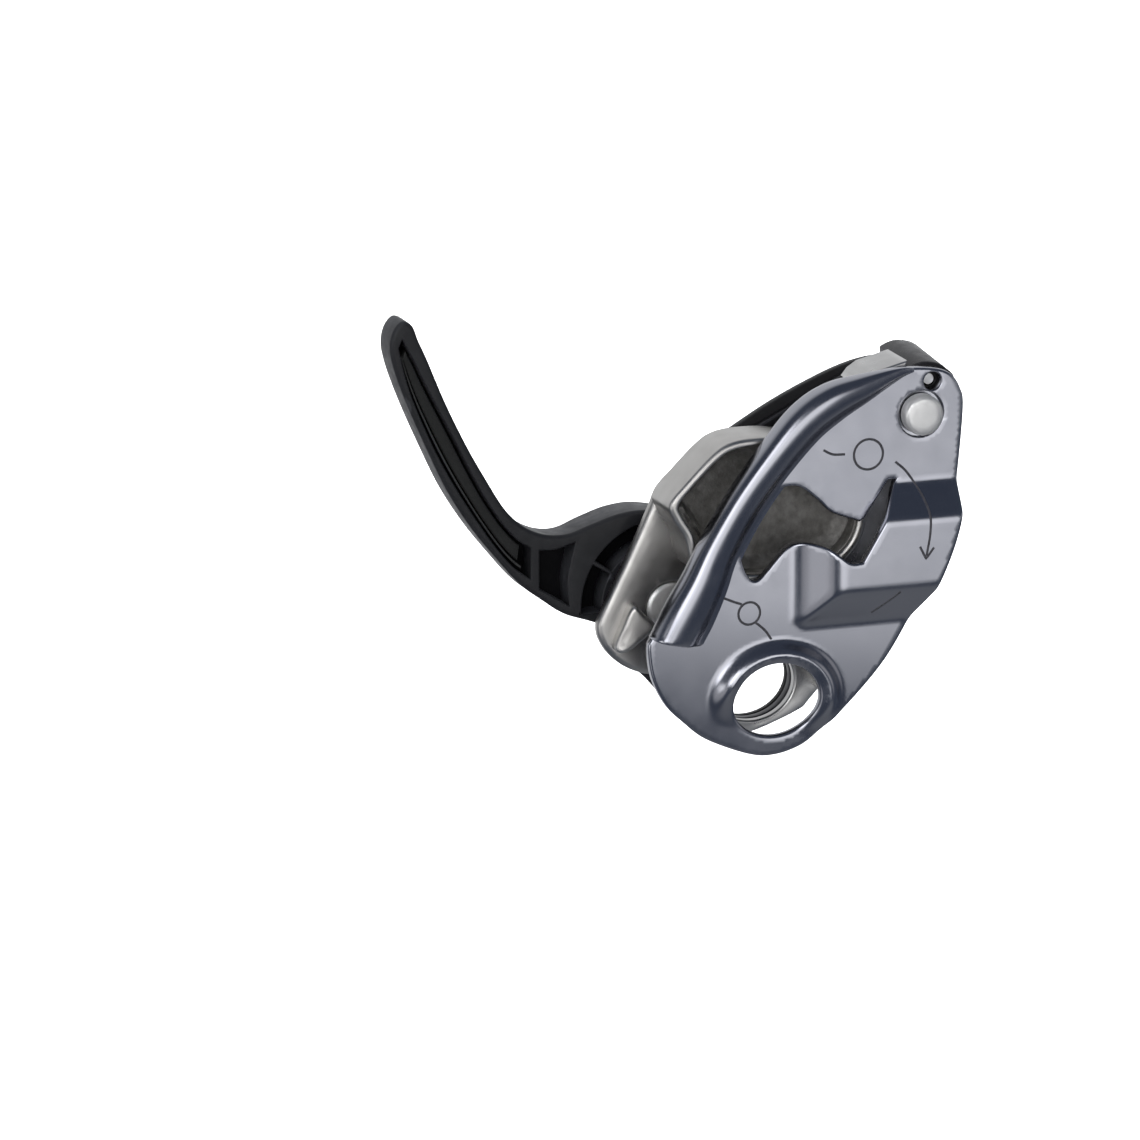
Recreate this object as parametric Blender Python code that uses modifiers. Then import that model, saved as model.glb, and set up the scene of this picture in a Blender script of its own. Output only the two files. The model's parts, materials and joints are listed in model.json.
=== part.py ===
"""Assisted-braking belay device: two side plates, a pivoting cam and a release handle.

The frame is +Z up, X to the right as the user sees the swinging plate, and Y through the
thickness, from the swinging plate in front to the cover behind. The origin is the middle of
the carabiner eye, in the plane of the swinging plate's front face. Sizes are in millimetres
and are turned into metres where the meshes are made.
"""

import math

import bmesh
import bpy
from mathutils import Vector

MM = 0.001
GAP = 0.3

# Pivot centres, as (x, z)
MAIN_PIVOT = (30.45, 56.4)
LEVER_PIVOT = (-17.6, 17.2)
PIN_HOLE = (32.85, 62.9)

# Depths through the thickness, as y
PLATE_FRONT = 0.0
PLATE_BACK = 2.2
BRIDGE_FRONT = -6.0
CAM_FRONT = 2.6
DRUM_BACK = 13.6
WEB_FRONT = 13.3
WEB_BACK = 15.7
LINER_FRONT = 13.9
LINER_BACK = 15.9
FRAME_FRONT = 16.2
FRAME_BACK = 18.4
COVER_FRONT = 18.7
HANDLE_FRONT = 18.9
HANDLE_BACK = 29.5
LOBE_FRONT = 29.9
LOBE_BACK = 31.4
COVER_BACK = 32.0
THIN_BACK = 20.5
COVER_WALL = 2.0
SLOPE_START = 34.0
SLOPE_RATE = 0.37

# Diameters and radii
EYE_WIDTH = 18.0
EYE_HEIGHT = 15.6
RIVET_HEAD = 4.1
RIVET_SHANK = 2.9
RIVET_RECESS = 4.7
AXLE_SHANK = 3.0
HUB_CLEARANCE = 21.4
LOBE_RADIUS = 13.4
DRIVE_RADIUS = 9.0
CAM_TRAVEL = 15.0
WIRE = 0.4

PART_NAME = "belay_device"
MANIFOLD_PARTS = ("moving_side_plate", "rear_cover")


def clear_scene():
    """Remove every object, so that the script also works in a used file."""
    for scene_object in list(bpy.data.objects):
        bpy.data.objects.remove(scene_object, do_unlink=True)


def collection(name):
    """Make a collection in the scene."""
    new = bpy.data.collections.new(name)
    bpy.context.scene.collection.children.link(new)
    return new


clear_scene()
PARTS = collection(PART_NAME)
CUTTERS = collection(PART_NAME + "_cutters")


def material(name, colour, roughness, metallic):
    """Make a Principled material."""
    new = bpy.data.materials.new(name)
    new.use_nodes = True
    shader = new.node_tree.nodes["Principled BSDF"]
    shader.inputs["Base Color"].default_value = (*colour, 1.0)
    shader.inputs["Roughness"].default_value = roughness
    shader.inputs["Metallic"].default_value = metallic
    return new


FINISHES = {
    "anodised": ((0.30, 0.30, 0.36), 0.28, 1.0),
    "stainless": ((0.56, 0.55, 0.53), 0.30, 1.0),
    "cast": ((0.32, 0.31, 0.29), 0.42, 1.0),
    "rivet": ((0.70, 0.70, 0.69), 0.30, 1.0),
    "spring": ((0.45, 0.45, 0.44), 0.30, 1.0),
    "nylon": ((0.022, 0.022, 0.024), 0.45, 0.0),
    "frame": ((0.10, 0.10, 0.11), 0.40, 1.0),
}


def polar(centre, radius, degrees):
    """A point at a radius and an anticlockwise angle from a centre, as (x, z)."""
    angle = math.radians(degrees)
    return (centre[0] + radius * math.cos(angle), centre[1] + radius * math.sin(angle))


def arc(centre, radius, start, end, steps):
    """Points along an arc, both ends included."""
    return [polar(centre, radius, start + (end - start) * i / steps) for i in range(steps + 1)]


def new_object(name, mesh, where):
    """Put a mesh in the scene as an object."""
    made = bpy.data.objects.new(name, mesh)
    where.objects.link(made)
    return made


def curve_to_mesh(name, curve_object):
    """Turn a curve object into a welded mesh object in world space, and remove the curve."""
    bpy.context.view_layer.update()
    evaluated = curve_object.evaluated_get(bpy.context.evaluated_depsgraph_get())
    mesh = bpy.data.meshes.new_from_object(evaluated)
    mesh.transform(curve_object.matrix_world)
    bpy.data.objects.remove(curve_object, do_unlink=True)
    shape = bmesh.new()
    shape.from_mesh(mesh)
    bmesh.ops.remove_doubles(shape, verts=shape.verts, dist=0.00001)
    bmesh.ops.recalc_face_normals(shape, faces=shape.faces)
    shape.to_mesh(mesh)
    shape.free()
    mesh.name = name
    return new_object(name, mesh, CUTTERS)


def slab(name, outline, front, back, smooth=True, resolution=3):
    """A flat outline of (x, z) points, extruded from y = front to y = back.

    A point with a third value is a sharp corner; the others are joined by a smooth curve.
    """
    curve = bpy.data.curves.new(name, "CURVE")
    curve.dimensions = "2D"
    curve.fill_mode = "BOTH"
    curve.extrude = (back - front) / 2 * MM
    if smooth:
        spline = curve.splines.new("BEZIER")
        spline.bezier_points.add(len(outline) - 1)
        spline.resolution_u = resolution
        for point, spot in zip(spline.bezier_points, outline):
            point.co = (spot[0] * MM, spot[1] * MM, 0.0)
            kind = "VECTOR" if len(spot) > 2 else "AUTO"
            point.handle_left_type = kind
            point.handle_right_type = kind
    else:
        spline = curve.splines.new("POLY")
        spline.points.add(len(outline) - 1)
        for point, spot in zip(spline.points, outline):
            point.co = (spot[0] * MM, spot[1] * MM, 0.0, 1.0)
    spline.use_cyclic_u = True
    flat = new_object(name, curve, CUTTERS)
    flat.rotation_euler = (math.pi / 2, 0.0, 0.0)
    flat.location = (0.0, (front + back) / 2 * MM, 0.0)
    return curve_to_mesh(name, flat)


def disc(name, centre, radius, front, back, sides=32):
    """A round bar along Y."""
    return slab(name, arc(centre, radius, 0, 360 - 360 / sides, sides - 1), front, back, False)


def ellipse(width, height, sides=32):
    """Points of an ellipse around the eye."""
    turns = [2 * math.pi * i / sides for i in range(sides)]
    return [(width / 2 * math.cos(t), height / 2 * math.sin(t)) for t in turns]


def tube(name, route, radius, closed=False, sides_resolution=2):
    """A round tube through (x, y, z) points; a fourth value scales its radius."""
    curve = bpy.data.curves.new(name, "CURVE")
    curve.dimensions = "3D"
    curve.bevel_depth = radius * MM
    curve.bevel_resolution = sides_resolution
    curve.use_fill_caps = True
    spline = curve.splines.new("POLY")
    spline.points.add(len(route) - 1)
    for point, spot in zip(spline.points, route):
        point.co = (spot[0] * MM, spot[1] * MM, spot[2] * MM, 1.0)
        point.radius = spot[3] if len(spot) > 3 else 1.0
    spline.use_cyclic_u = closed
    return curve_to_mesh(name, new_object(name, curve, CUTTERS))


def loft(name, near, far, y_near, y_far):
    """A solid between two outlines with the same number of points, at two depths."""
    shape = bmesh.new()
    first = [shape.verts.new((x * MM, y_near * MM, z * MM)) for x, z in near]
    second = [shape.verts.new((x * MM, y_far * MM, z * MM)) for x, z in far]
    shape.faces.new(first)
    shape.faces.new(second)
    count = len(near)
    for i in range(count):
        j = (i + 1) % count
        shape.faces.new((first[i], first[j], second[j], second[i]))
    bmesh.ops.triangulate(shape, faces=shape.faces)
    bmesh.ops.recalc_face_normals(shape, faces=shape.faces)
    mesh = bpy.data.meshes.new(name)
    shape.to_mesh(mesh)
    shape.free()
    return new_object(name, mesh, CUTTERS)


def turned(name, centre, profile, steps=32):
    """A solid of revolution about Y: profile points are (radius, y), the first and last at radius 0."""
    mesh = bpy.data.meshes.new(name)
    points = [(radius * MM, 0.0, -y * MM) for radius, y in profile]
    mesh.from_pydata(points, [(i, i + 1) for i in range(len(points) - 1)], [])
    made = new_object(name, mesh, CUTTERS)
    made.rotation_euler = (math.pi / 2, 0.0, 0.0)
    made.location = (centre[0] * MM, 0.0, centre[1] * MM)
    screw = made.modifiers.new("turn", "SCREW")
    screw.steps = steps
    screw.render_steps = steps
    screw.use_merge_vertices = True
    screw.merge_threshold = 0.00001
    return made


def boolean(target, other, operation):
    """Combine one mesh object with another, which becomes a hidden guide.

    The swinging plate and the cover join curved pieces whose faces nearly meet, where the
    exact solver leaves open edges, so they use the manifold one.
    """
    step = target.modifiers.new(other.name, "BOOLEAN")
    step.operation = operation
    step.object = other
    step.solver = "MANIFOLD" if target.name in MANIFOLD_PARTS else "EXACT"
    other.hide_render = True
    other.display_type = "WIRE"


def cut(target, *others):
    """Take the other solids away from the target."""
    for other in others:
        boolean(target, other, "DIFFERENCE")


def add(target, *others):
    """Join the other solids to the target."""
    for other in others:
        boolean(target, other, "UNION")


def joint_empty(name, centre):
    """An empty on a joint's axis, which its moving pieces hang from."""
    empty = bpy.data.objects.new(name, None)
    empty.location = (centre[0] * MM, 0.0, centre[1] * MM)
    PARTS.objects.link(empty)
    return empty


def finish(piece, finish_name, parent=None):
    """Name a finished piece as a part: its material, its collection, its shading and its parent."""
    CUTTERS.objects.unlink(piece)
    PARTS.objects.link(piece)
    colour, roughness, metallic = FINISHES[finish_name]
    piece.data.materials.clear()
    piece.data.materials.append(material(piece.name, colour, roughness, metallic))
    piece.data.shade_smooth()
    piece.data.set_sharp_from_angle(angle=math.radians(35))
    if parent is not None:
        bpy.context.view_layer.update()
        piece.parent = parent
        piece.matrix_parent_inverse = parent.matrix_world.inverted()
    return piece


# The outline of the swinging plate, clockwise from the top right
PLATE_OUTLINE = [
    (33.3, 65.5), (38.0, 63.2), (39.6, 57.5), (38.4, 42.6), (37.0, 33.5), (33.8, 24.6),
    (28.4, 14.5), (22.6, 5.3), (14.2, -3.9), (10.8, -6.5), (0.0, -11.8), (-4.7, -11.4),
    (-14.2, -7.5), (-19.2, -3.5), (-23.1, 0.5), (-26.1, 6.3), (-27.2, 13.1), (-24.8, 19.0),
    (-20.6, 25.9), (-17.0, 32.8), (-11.0, 41.2), (-3.6, 51.3), (3.2, 59.0), (10.5, 64.0),
    (16.5, 65.4), (22.0, 66.3), (27.4, 66.0),
]

# The window round the cam, with a tongue that hangs into it and the slit beside the bridge
WINDOW = [
    (-4.6, 24.9), (-7.8, 30.6), (-6.4, 36.8), (-1.5, 42.4), (4.0, 43.6), (8.6, 40.4),
    (11.6, 37.6), (17.6, 35.2, 1), (18.6, 35.9, 1), (23.6, 43.4, 1), (25.2, 43.4, 1),
    (20.4, 35.3, 1), (16.1, 28.2, 1), (13.4, 28.4), (8.6, 31.6), (2.6, 31.4),
]

# The rolled edge of the swinging plate, from its lower end to the rope ramp: x, z, radius
ROLLED_EDGE = [
    (-21.7, 13.4, 4.9), (-19.2, 19.0, 4.8), (-16.2, 25.0, 4.4), (-13.2, 32.0, 3.7), (-7.8, 41.0, 3.5),
    (-1.2, 49.6, 3.8), (5.6, 56.6, 4.6), (11.2, 60.4, 4.7), (18.0, 63.0, 3.4), (24.6, 65.0, 1.6),
]

SHEET_EXTENT = [(-60, -60), (60, -60), (60, 90), (-60, 90)]

BRIDGE_FOOT = [(23.6, 43.2), (46.0, 43.2), (46.0, 13.9), (3.0, 13.9), (2.0, 27.0), (15.3, 28.2)]
BRIDGE_TOP = [(19.2, 35.3), (46.0, 35.3), (46.0, 23.4), (13.0, 23.4), (12.5, 26.0), (15.3, 28.2)]

# The drum of the cam, clockwise from its lower left
DRUM = [
    (-17.3, 29.5), (-18.5, 34.0), (-20.9, 38.0), (-21.8, 41.4), (-18.2, 45.6), (-12.4, 51.1),
    (-8.8, 53.0), (-4.0, 53.5), (3.0, 53.0), (11.0, 50.4), (17.0, 45.4), (20.0, 38.5),
    (19.0, 31.0), (14.0, 25.7), (7.0, 23.7), (-2.0, 23.5), (-10.0, 24.4), (-15.2, 26.4),
]
DRUM_POCKET = [
    (-15.4, 30.2), (-16.8, 34.8), (-19.4, 39.2), (-19.8, 41.2), (-16.8, 44.7), (-11.6, 49.6),
    (-8.3, 51.3), (-4.0, 51.7), (2.6, 51.2), (10.0, 48.8), (15.4, 44.4), (18.1, 38.2),
    (17.2, 31.9), (13.0, 27.5), (6.6, 25.6), (-1.8, 25.4), (-9.4, 26.2), (-13.8, 27.6),
]
WEB = arc(LEVER_PIVOT, LOBE_RADIUS, 42, -155, 22) + [
    (-32.6, 14.4), (-27.0, 27.6), (-22.2, 38.0), (-20.0, 42.6), (-14.2, 47.4), (-8.0, 49.4), (-2.0, 44.0),
]

FRAME_OUTLINE = [
    (33.0, 63.6), (36.6, 61.6), (37.6, 57.0), (36.6, 42.0), (35.4, 33.0), (32.6, 24.5), (26.8, 14.0),
    (21.4, 5.6), (12.8, -4.4), (9.6, -6.9), (0.0, -10.4), (-4.5, -10.0), (-13.0, -5.8), (-18.0, -2.0),
    (-22.0, 2.4), (-26.0, 6.4), (-28.4, 11.0), (-28.2, 17.5), (-25.2, 25.0), (-20.8, 33.0),
    (-17.6, 39.6), (-11.0, 45.4), (-4.0, 49.6), (6.0, 54.6), (14.0, 58.6), (21.0, 62.0), (27.0, 64.0),
]

COVER_OUTLINE = [
    (32.6, 64.2), (37.0, 61.8), (37.7, 57.0), (36.7, 42.0), (35.6, 33.0), (33.0, 24.5), (27.2, 14.0),
    (21.8, 5.4), (13.2, -4.8), (9.8, -7.3), (0.0, -10.9, 1), (-6.0, -10.0, 1), (-8.6, -4.5, 1),
    (-9.2, -2.0, 1),
]
COVER_TOP_LEFT = [(-5.2, 50.6, 1), (5.0, 56.4), (14.0, 60.6), (21.0, 63.2), (27.0, 64.4)]

HANDLE = [
    (-71.0, 79.5), (-66.6, 71.5), (-62.0, 62.2), (-57.6, 53.3), (-53.7, 46.3), (-49.8, 39.6),
    (-46.9, 36.0), (-44.0, 34.0), (-41.0, 33.0), (-37.1, 33.0), (-32.7, 34.4), (-26.4, 36.2),
    (-20.2, 36.4), (-12.4, 34.0), (-6.2, 27.4), (-4.2, 18.6), (-6.2, 10.2), (-12.0, 5.0),
    (-18.4, 3.8), (-24.6, 6.0), (-29.8, 12.6), (-38.1, 16.0), (-43.0, 19.3), (-47.8, 23.1),
    (-52.7, 28.7), (-58.1, 35.6), (-63.0, 43.4), (-67.3, 52.4), (-71.2, 61.3), (-74.2, 68.8),
    (-75.3, 74.4), (-73.8, 78.6),
]
FINGER_POCKET = [
    (-72.0, 75.8), (-68.9, 71.8), (-64.2, 62.2), (-59.8, 53.2), (-55.9, 46.0), (-51.9, 39.0),
    (-48.8, 34.8), (-45.2, 32.0), (-42.6, 31.0, 1), (-42.2, 21.6, 1), (-46.4, 25.0), (-51.0, 30.4),
    (-56.3, 37.2), (-61.0, 44.6), (-65.1, 53.4), (-69.0, 62.2), (-71.9, 69.4),
]
NECK_POCKET = [
    (-40.6, 30.8, 1), (-36.6, 30.9), (-35.0, 31.4, 1), (-36.2, 24.0, 1), (-36.2, 18.0, 1), (-40.2, 20.4, 1),
]


def swinging_plate(parent):
    """The front plate, with its raised bridge, rolled rope edge, window, eye collar and recess."""
    plate = slab("moving_side_plate", PLATE_OUTLINE, PLATE_FRONT, PLATE_BACK)
    bridge = loft("bridge_body", BRIDGE_FOOT, BRIDGE_TOP, PLATE_BACK, BRIDGE_FRONT)
    trim = slab("bridge_trim", PLATE_OUTLINE, BRIDGE_FRONT - 1, PLATE_BACK + 1)
    boolean(bridge, trim, "INTERSECT")
    depth = PLATE_BACK - PLATE_FRONT
    hollow = loft("bridge_hollow", BRIDGE_FOOT, BRIDGE_TOP, PLATE_BACK + depth, BRIDGE_FRONT + depth)
    edge = tube("rolled_edge", [(x, 0.9, z, r) for x, z, r in ROLLED_EDGE], 1.0)
    edge_trim = slab("rolled_edge_trim", SHEET_EXTENT, BRIDGE_FRONT - 4, PLATE_BACK - GAP, False)
    boolean(edge, edge_trim, "INTERSECT")
    collar = tube("eye_collar", [(x, 0.6, z) for x, z in ellipse(EYE_WIDTH + 4.4, EYE_HEIGHT + 4.4)], 2.6, True)
    collar_trim = slab("eye_collar_trim", SHEET_EXTENT, BRIDGE_FRONT, PLATE_BACK - 2 * GAP, False)
    boolean(collar, collar_trim, "INTERSECT")
    add(plate, bridge, edge, collar)
    eye = slab("plate_eye", ellipse(EYE_WIDTH, EYE_HEIGHT), BRIDGE_FRONT - 2, PLATE_BACK + 2, False)
    window = slab("plate_window", WINDOW, BRIDGE_FRONT - 2, PLATE_BACK + 1)
    recess = disc("rivet_recess", MAIN_PIVOT, RIVET_RECESS, -2, 1.1)
    bore = disc("rivet_bore", MAIN_PIVOT, RIVET_SHANK + GAP, -3, PLATE_BACK + 1)
    sight = disc("pin_sight", PIN_HOLE, 1.85, -2, PLATE_BACK + 1, 20)
    cut(plate, hollow, window, eye, recess, bore, sight)
    return finish(plate, "anodised", parent)


def main_rivet():
    """The rivet that the front plate swings on, headed at both ends."""
    profile = [
        (0, -2.4), (3.2, -2.4), (3.8, -2.1), (RIVET_HEAD, -1.5), (RIVET_HEAD, 0.8), (RIVET_SHANK, 0.8),
        (RIVET_SHANK, COVER_FRONT + 2.1), (4.4, COVER_FRONT + 2.1), (4.4, COVER_FRONT + 2.9),
        (3.4, COVER_FRONT + 3.3), (0, COVER_FRONT + 3.3),
    ]
    return finish(turned("main_rivet", MAIN_PIVOT, profile), "rivet")


def ring(name, centre, inner, outer, front, back, finish_name, parent=None, sides=32):
    """A flat ring or a bush round an axis along Y."""
    body = disc(name, centre, outer, front, back, sides)
    cut(body, disc(name + "_bore", centre, inner, front - 1, back + 1, sides))
    return finish(body, finish_name, parent)


def top_cap():
    """The moulded corner between the plates, which wraps the edge of the frame plate."""
    outline = [
        (28.9, 66.7, 1), (33.6, 66.5), (37.6, 64.9), (39.2, 61.8), (39.3, 57.0), (38.4, 48.6, 1),
        (35.2, 49.4, 1), (30.0, 49.6), (25.6, 51.4), (23.4, 56.0), (24.6, 60.4), (28.9, 62.2, 1),
    ]
    cap = slab("top_cap", outline, 2.5, THIN_BACK - GAP)
    cavity = slab("cap_cavity", [(x + dx, z) for x, z, dx in
                  [(20, 40, 0), (20, 64.9, 0), (33.4, 65.1, 0), (37.9, 62.6, 0), (38.5, 57.0, 0), (37.8, 40, 0)]],
                  LINER_FRONT - 0.3, THIN_BACK + 2, False)
    bore = disc("cap_bore", MAIN_PIVOT, 4.6, 0, 22)
    pin_bore = disc("cap_pin_bore", PIN_HOLE, 1.4, 0, 14, 20)
    cut(cap, cavity, bore, pin_bore)
    return finish(cap, "nylon")


def stop_block():
    """The steel block at the top edge, between the plates."""
    outline = [(18.6, 62.6, 1), (20.4, 64.2, 1), (28.4, 66.4, 1), (28.4, 63.6, 1), (24.2, 62.2, 1), (20.6, 60.8, 1)]
    return finish(slab("stop_block", outline, 2.6, LINER_FRONT - GAP), "stainless")


def frame_plate():
    """The load-bearing rear plate."""
    plate = slab("fixed_side_plate", FRAME_OUTLINE, FRAME_FRONT, FRAME_BACK)
    eye = slab("frame_eye", ellipse(EYE_WIDTH, EYE_HEIGHT), 10, 25, False)
    bore = disc("frame_rivet_bore", MAIN_PIVOT, RIVET_SHANK + GAP, 10, 25)
    axle = disc("frame_axle_bore", LEVER_PIVOT, AXLE_SHANK + GAP, 10, 25)
    slot_outer = arc(LEVER_PIVOT, DRIVE_RADIUS + 2.2, 60 - CAM_TRAVEL - 16, 60 + 16, 8)
    slot_inner = arc(LEVER_PIVOT, DRIVE_RADIUS - 2.2, 60 + 16, 60 - CAM_TRAVEL - 16, 8)
    slot = slab("drive_slot", slot_outer + slot_inner, 10, 25, False)
    cut(plate, eye, bore, axle, slot)
    cut(plate, *[disc(f"frame_hole_{i}", spot, 1.7, 10, 25, 16) for i, spot in enumerate(LINER_RIVETS)])
    cut(plate, *[disc(f"frame_tap_{i}", spot, 1.5, 10, 25, 16) for i, spot in enumerate(COVER_SCREWS)])
    cut(plate, disc("frame_stop_hole", CAM_STOP, 1.7, 10, 25, 16))
    return finish(plate, "frame")


LINER_RIVETS = [(30.6, 46.2), (14.6, 2.2), (-10.6, -4.4)]
COVER_SCREWS = [(13.0, 51.0), (28.6, 32.0), (17.6, 17.6)]
CAM_STOP = polar(LEVER_PIVOT, 19.1, 31.1)


def liner_plate():
    """The stainless plate and wall that the rope rubs on, cut back where the cam turns."""
    outline = [
        (36.2, 50.0, 1), (36.3, 42.0), (35.2, 33.0), (32.4, 24.5), (26.6, 14.0), (21.2, 5.8), (12.6, -4.2),
        (9.5, -6.7), (0.0, -10.1), (-4.5, -9.7), (-13.6, -5.2), (-17.6, -2.0), (-17.6, 20.0, 1), (10.0, 30.0, 1),
        (15.5, 36.0, 1), (14.0, 43.0), (8.0, 51.0, 1), (14.0, 57.6, 1), (20.4, 60.6, 1), (23.8, 50.6, 1),
    ]
    plate = slab("friction_plate", outline, LINER_FRONT, LINER_BACK)
    wall_outer = [(35.9, 46.0, 1), (36.0, 40.0), (35.0, 33.0), (32.2, 24.6), (26.4, 14.2), (20.6, 5.2), (14.0, -2.2, 1)]
    wall_inner = [(12.6, -1.0, 1), (18.9, 6.4), (24.6, 15.2), (30.2, 25.4), (32.9, 33.4), (33.9, 40.0), (33.8, 46.0, 1)]
    wall = slab("friction_wall", wall_outer + wall_inner, CAM_FRONT, LINER_BACK - 0.8)
    add(plate, wall)
    hub = disc("liner_hub_clearance", LEVER_PIVOT, LOBE_RADIUS + 0.8, 10, 20, 48)
    neck_points = [LEVER_PIVOT] + arc(LEVER_PIVOT, 27.5, 0, 70, 8)
    neck = slab("liner_neck_clearance", neck_points, 10, 20, False)
    eye = slab("liner_eye", ellipse(EYE_WIDTH, EYE_HEIGHT), 0, 25, False)
    cut(plate, hub, neck, eye)
    cut(plate, *[disc(f"liner_hole_{i}", spot, 1.7, 10, 25, 16) for i, spot in enumerate(LINER_RIVETS)])
    return finish(plate, "stainless")


def liner_rivet(index, spot):
    """A flush rivet that holds the liner to the frame plate."""
    profile = [(0, LINER_FRONT - 0.2), (1.4, LINER_FRONT - 0.2), (1.4, FRAME_BACK + 0.1), (0, FRAME_BACK + 0.1)]
    return finish(turned(f"friction_plate_rivet_{index}", spot, profile, 16), "rivet")


def cam(parent):
    """The cam: a hollow-faced drum inside the rope's bend, on a web that carries the hub."""
    body = slab("cam", DRUM, CAM_FRONT, DRUM_BACK)
    web = slab("cam_web", WEB, WEB_FRONT, WEB_BACK, False)
    lug = loft(
        "cam_lug",
        [(-30.6, 13.6), (-28.6, 18.6), (-25.4, 19.4), (-22.2, 15.2), (-24.8, 11.0), (-28.8, 10.4)],
        [(-28.6, 13.4), (-27.2, 17.2), (-25.2, 17.8), (-23.8, 15.0), (-25.4, 12.4), (-27.6, 11.8)],
        WEB_FRONT + 1.0, WEB_FRONT - 3.6,
    )
    add(body, web, lug)
    pocket = slab("cam_pocket", DRUM_POCKET, CAM_FRONT - 1, 8.4)
    bore = disc("cam_bore", LEVER_PIVOT, 4.3, 10, 20)
    sink = disc("cam_sink", LEVER_PIVOT, 5.6, 10, 14.3)
    drive = disc("cam_drive_bore", polar(LEVER_PIVOT, DRIVE_RADIUS, 60), 1.8, 14.3, 20, 16)
    cut(body, pocket, bore, sink, drive)
    return finish(body, "cast", parent)


def lever_axle():
    """The axle that the cam and the handle turn on."""
    profile = [
        (0, 13.2), (4.4, 13.2), (5.2, 13.6), (5.2, 14.0), (AXLE_SHANK, 14.0), (AXLE_SHANK, 31.8),
        (2.2, 31.8), (2.2, 32.6), (AXLE_SHANK, 32.6), (AXLE_SHANK - 0.4, 33.2), (0, 33.2),
    ]
    return finish(turned("cam_axle", LEVER_PIVOT, profile), "rivet")


def pin(name, centre, radius, front, back, finish_name, parent=None, sides=16):
    """A plain pin along Y."""
    return finish(disc(name, centre, radius, front, back, sides), finish_name, parent)


def spring(name, centre, radius, front, turns, start, leg, parent=None):
    """A torsion spring: a close coil about Y with one straight leg."""
    pitch = 2 * WIRE + 0.12
    steps = 14
    coil = []
    for i in range(int(turns * steps) + 1):
        x, z = polar(centre, radius, start + 360 * i / steps)
        coil.append((x, front + WIRE + pitch * i / steps, z))
    end_angle = start + 360 * int(turns * steps) / steps
    tip = polar((coil[-1][0], coil[-1][2]), leg, end_angle + 90)
    coil.append((tip[0], coil[-1][1], tip[1]))
    return finish(tube(name, coil, WIRE, sides_resolution=1), "spring", parent)


def handle(parent):
    """The release handle, with pockets in its front face and counterbores in its hub."""
    body = slab("handle", HANDLE, HANDLE_FRONT, HANDLE_BACK)
    finger = slab("finger_pocket", FINGER_POCKET, HANDLE_FRONT - 1, HANDLE_FRONT + 5.2)
    neck = slab("neck_pocket", NECK_POCKET, HANDLE_FRONT - 1, HANDLE_FRONT + 5.2)
    front_bore = disc("handle_front_bore", LEVER_PIVOT, 11.4, HANDLE_FRONT - 1, 23.2, 40)
    rear_bore = disc("handle_rear_bore", LEVER_PIVOT, 7.2, 25.4, HANDLE_BACK + 1)
    through = disc("handle_bore", LEVER_PIVOT, 4.3, 15, 35)
    cut(body, finger, neck, front_bore, rear_bore, through)
    return finish(body, "nylon", parent)


def handle_insert(parent):
    """The steel disc moulded in the hub, whose dog pushes the cam's drive pin."""
    body = disc("handle_insert", LEVER_PIVOT, 11.0, 21.6, 22.9, 40)
    dog = disc("insert_dog", polar(LEVER_PIVOT, DRIVE_RADIUS, 60 - 121), 1.5, 19.3, 22.2, 16)
    add(body, dog)
    cut(body, disc("insert_bore", LEVER_PIVOT, 4.3, 15, 35))
    return finish(body, "stainless", parent)


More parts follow.
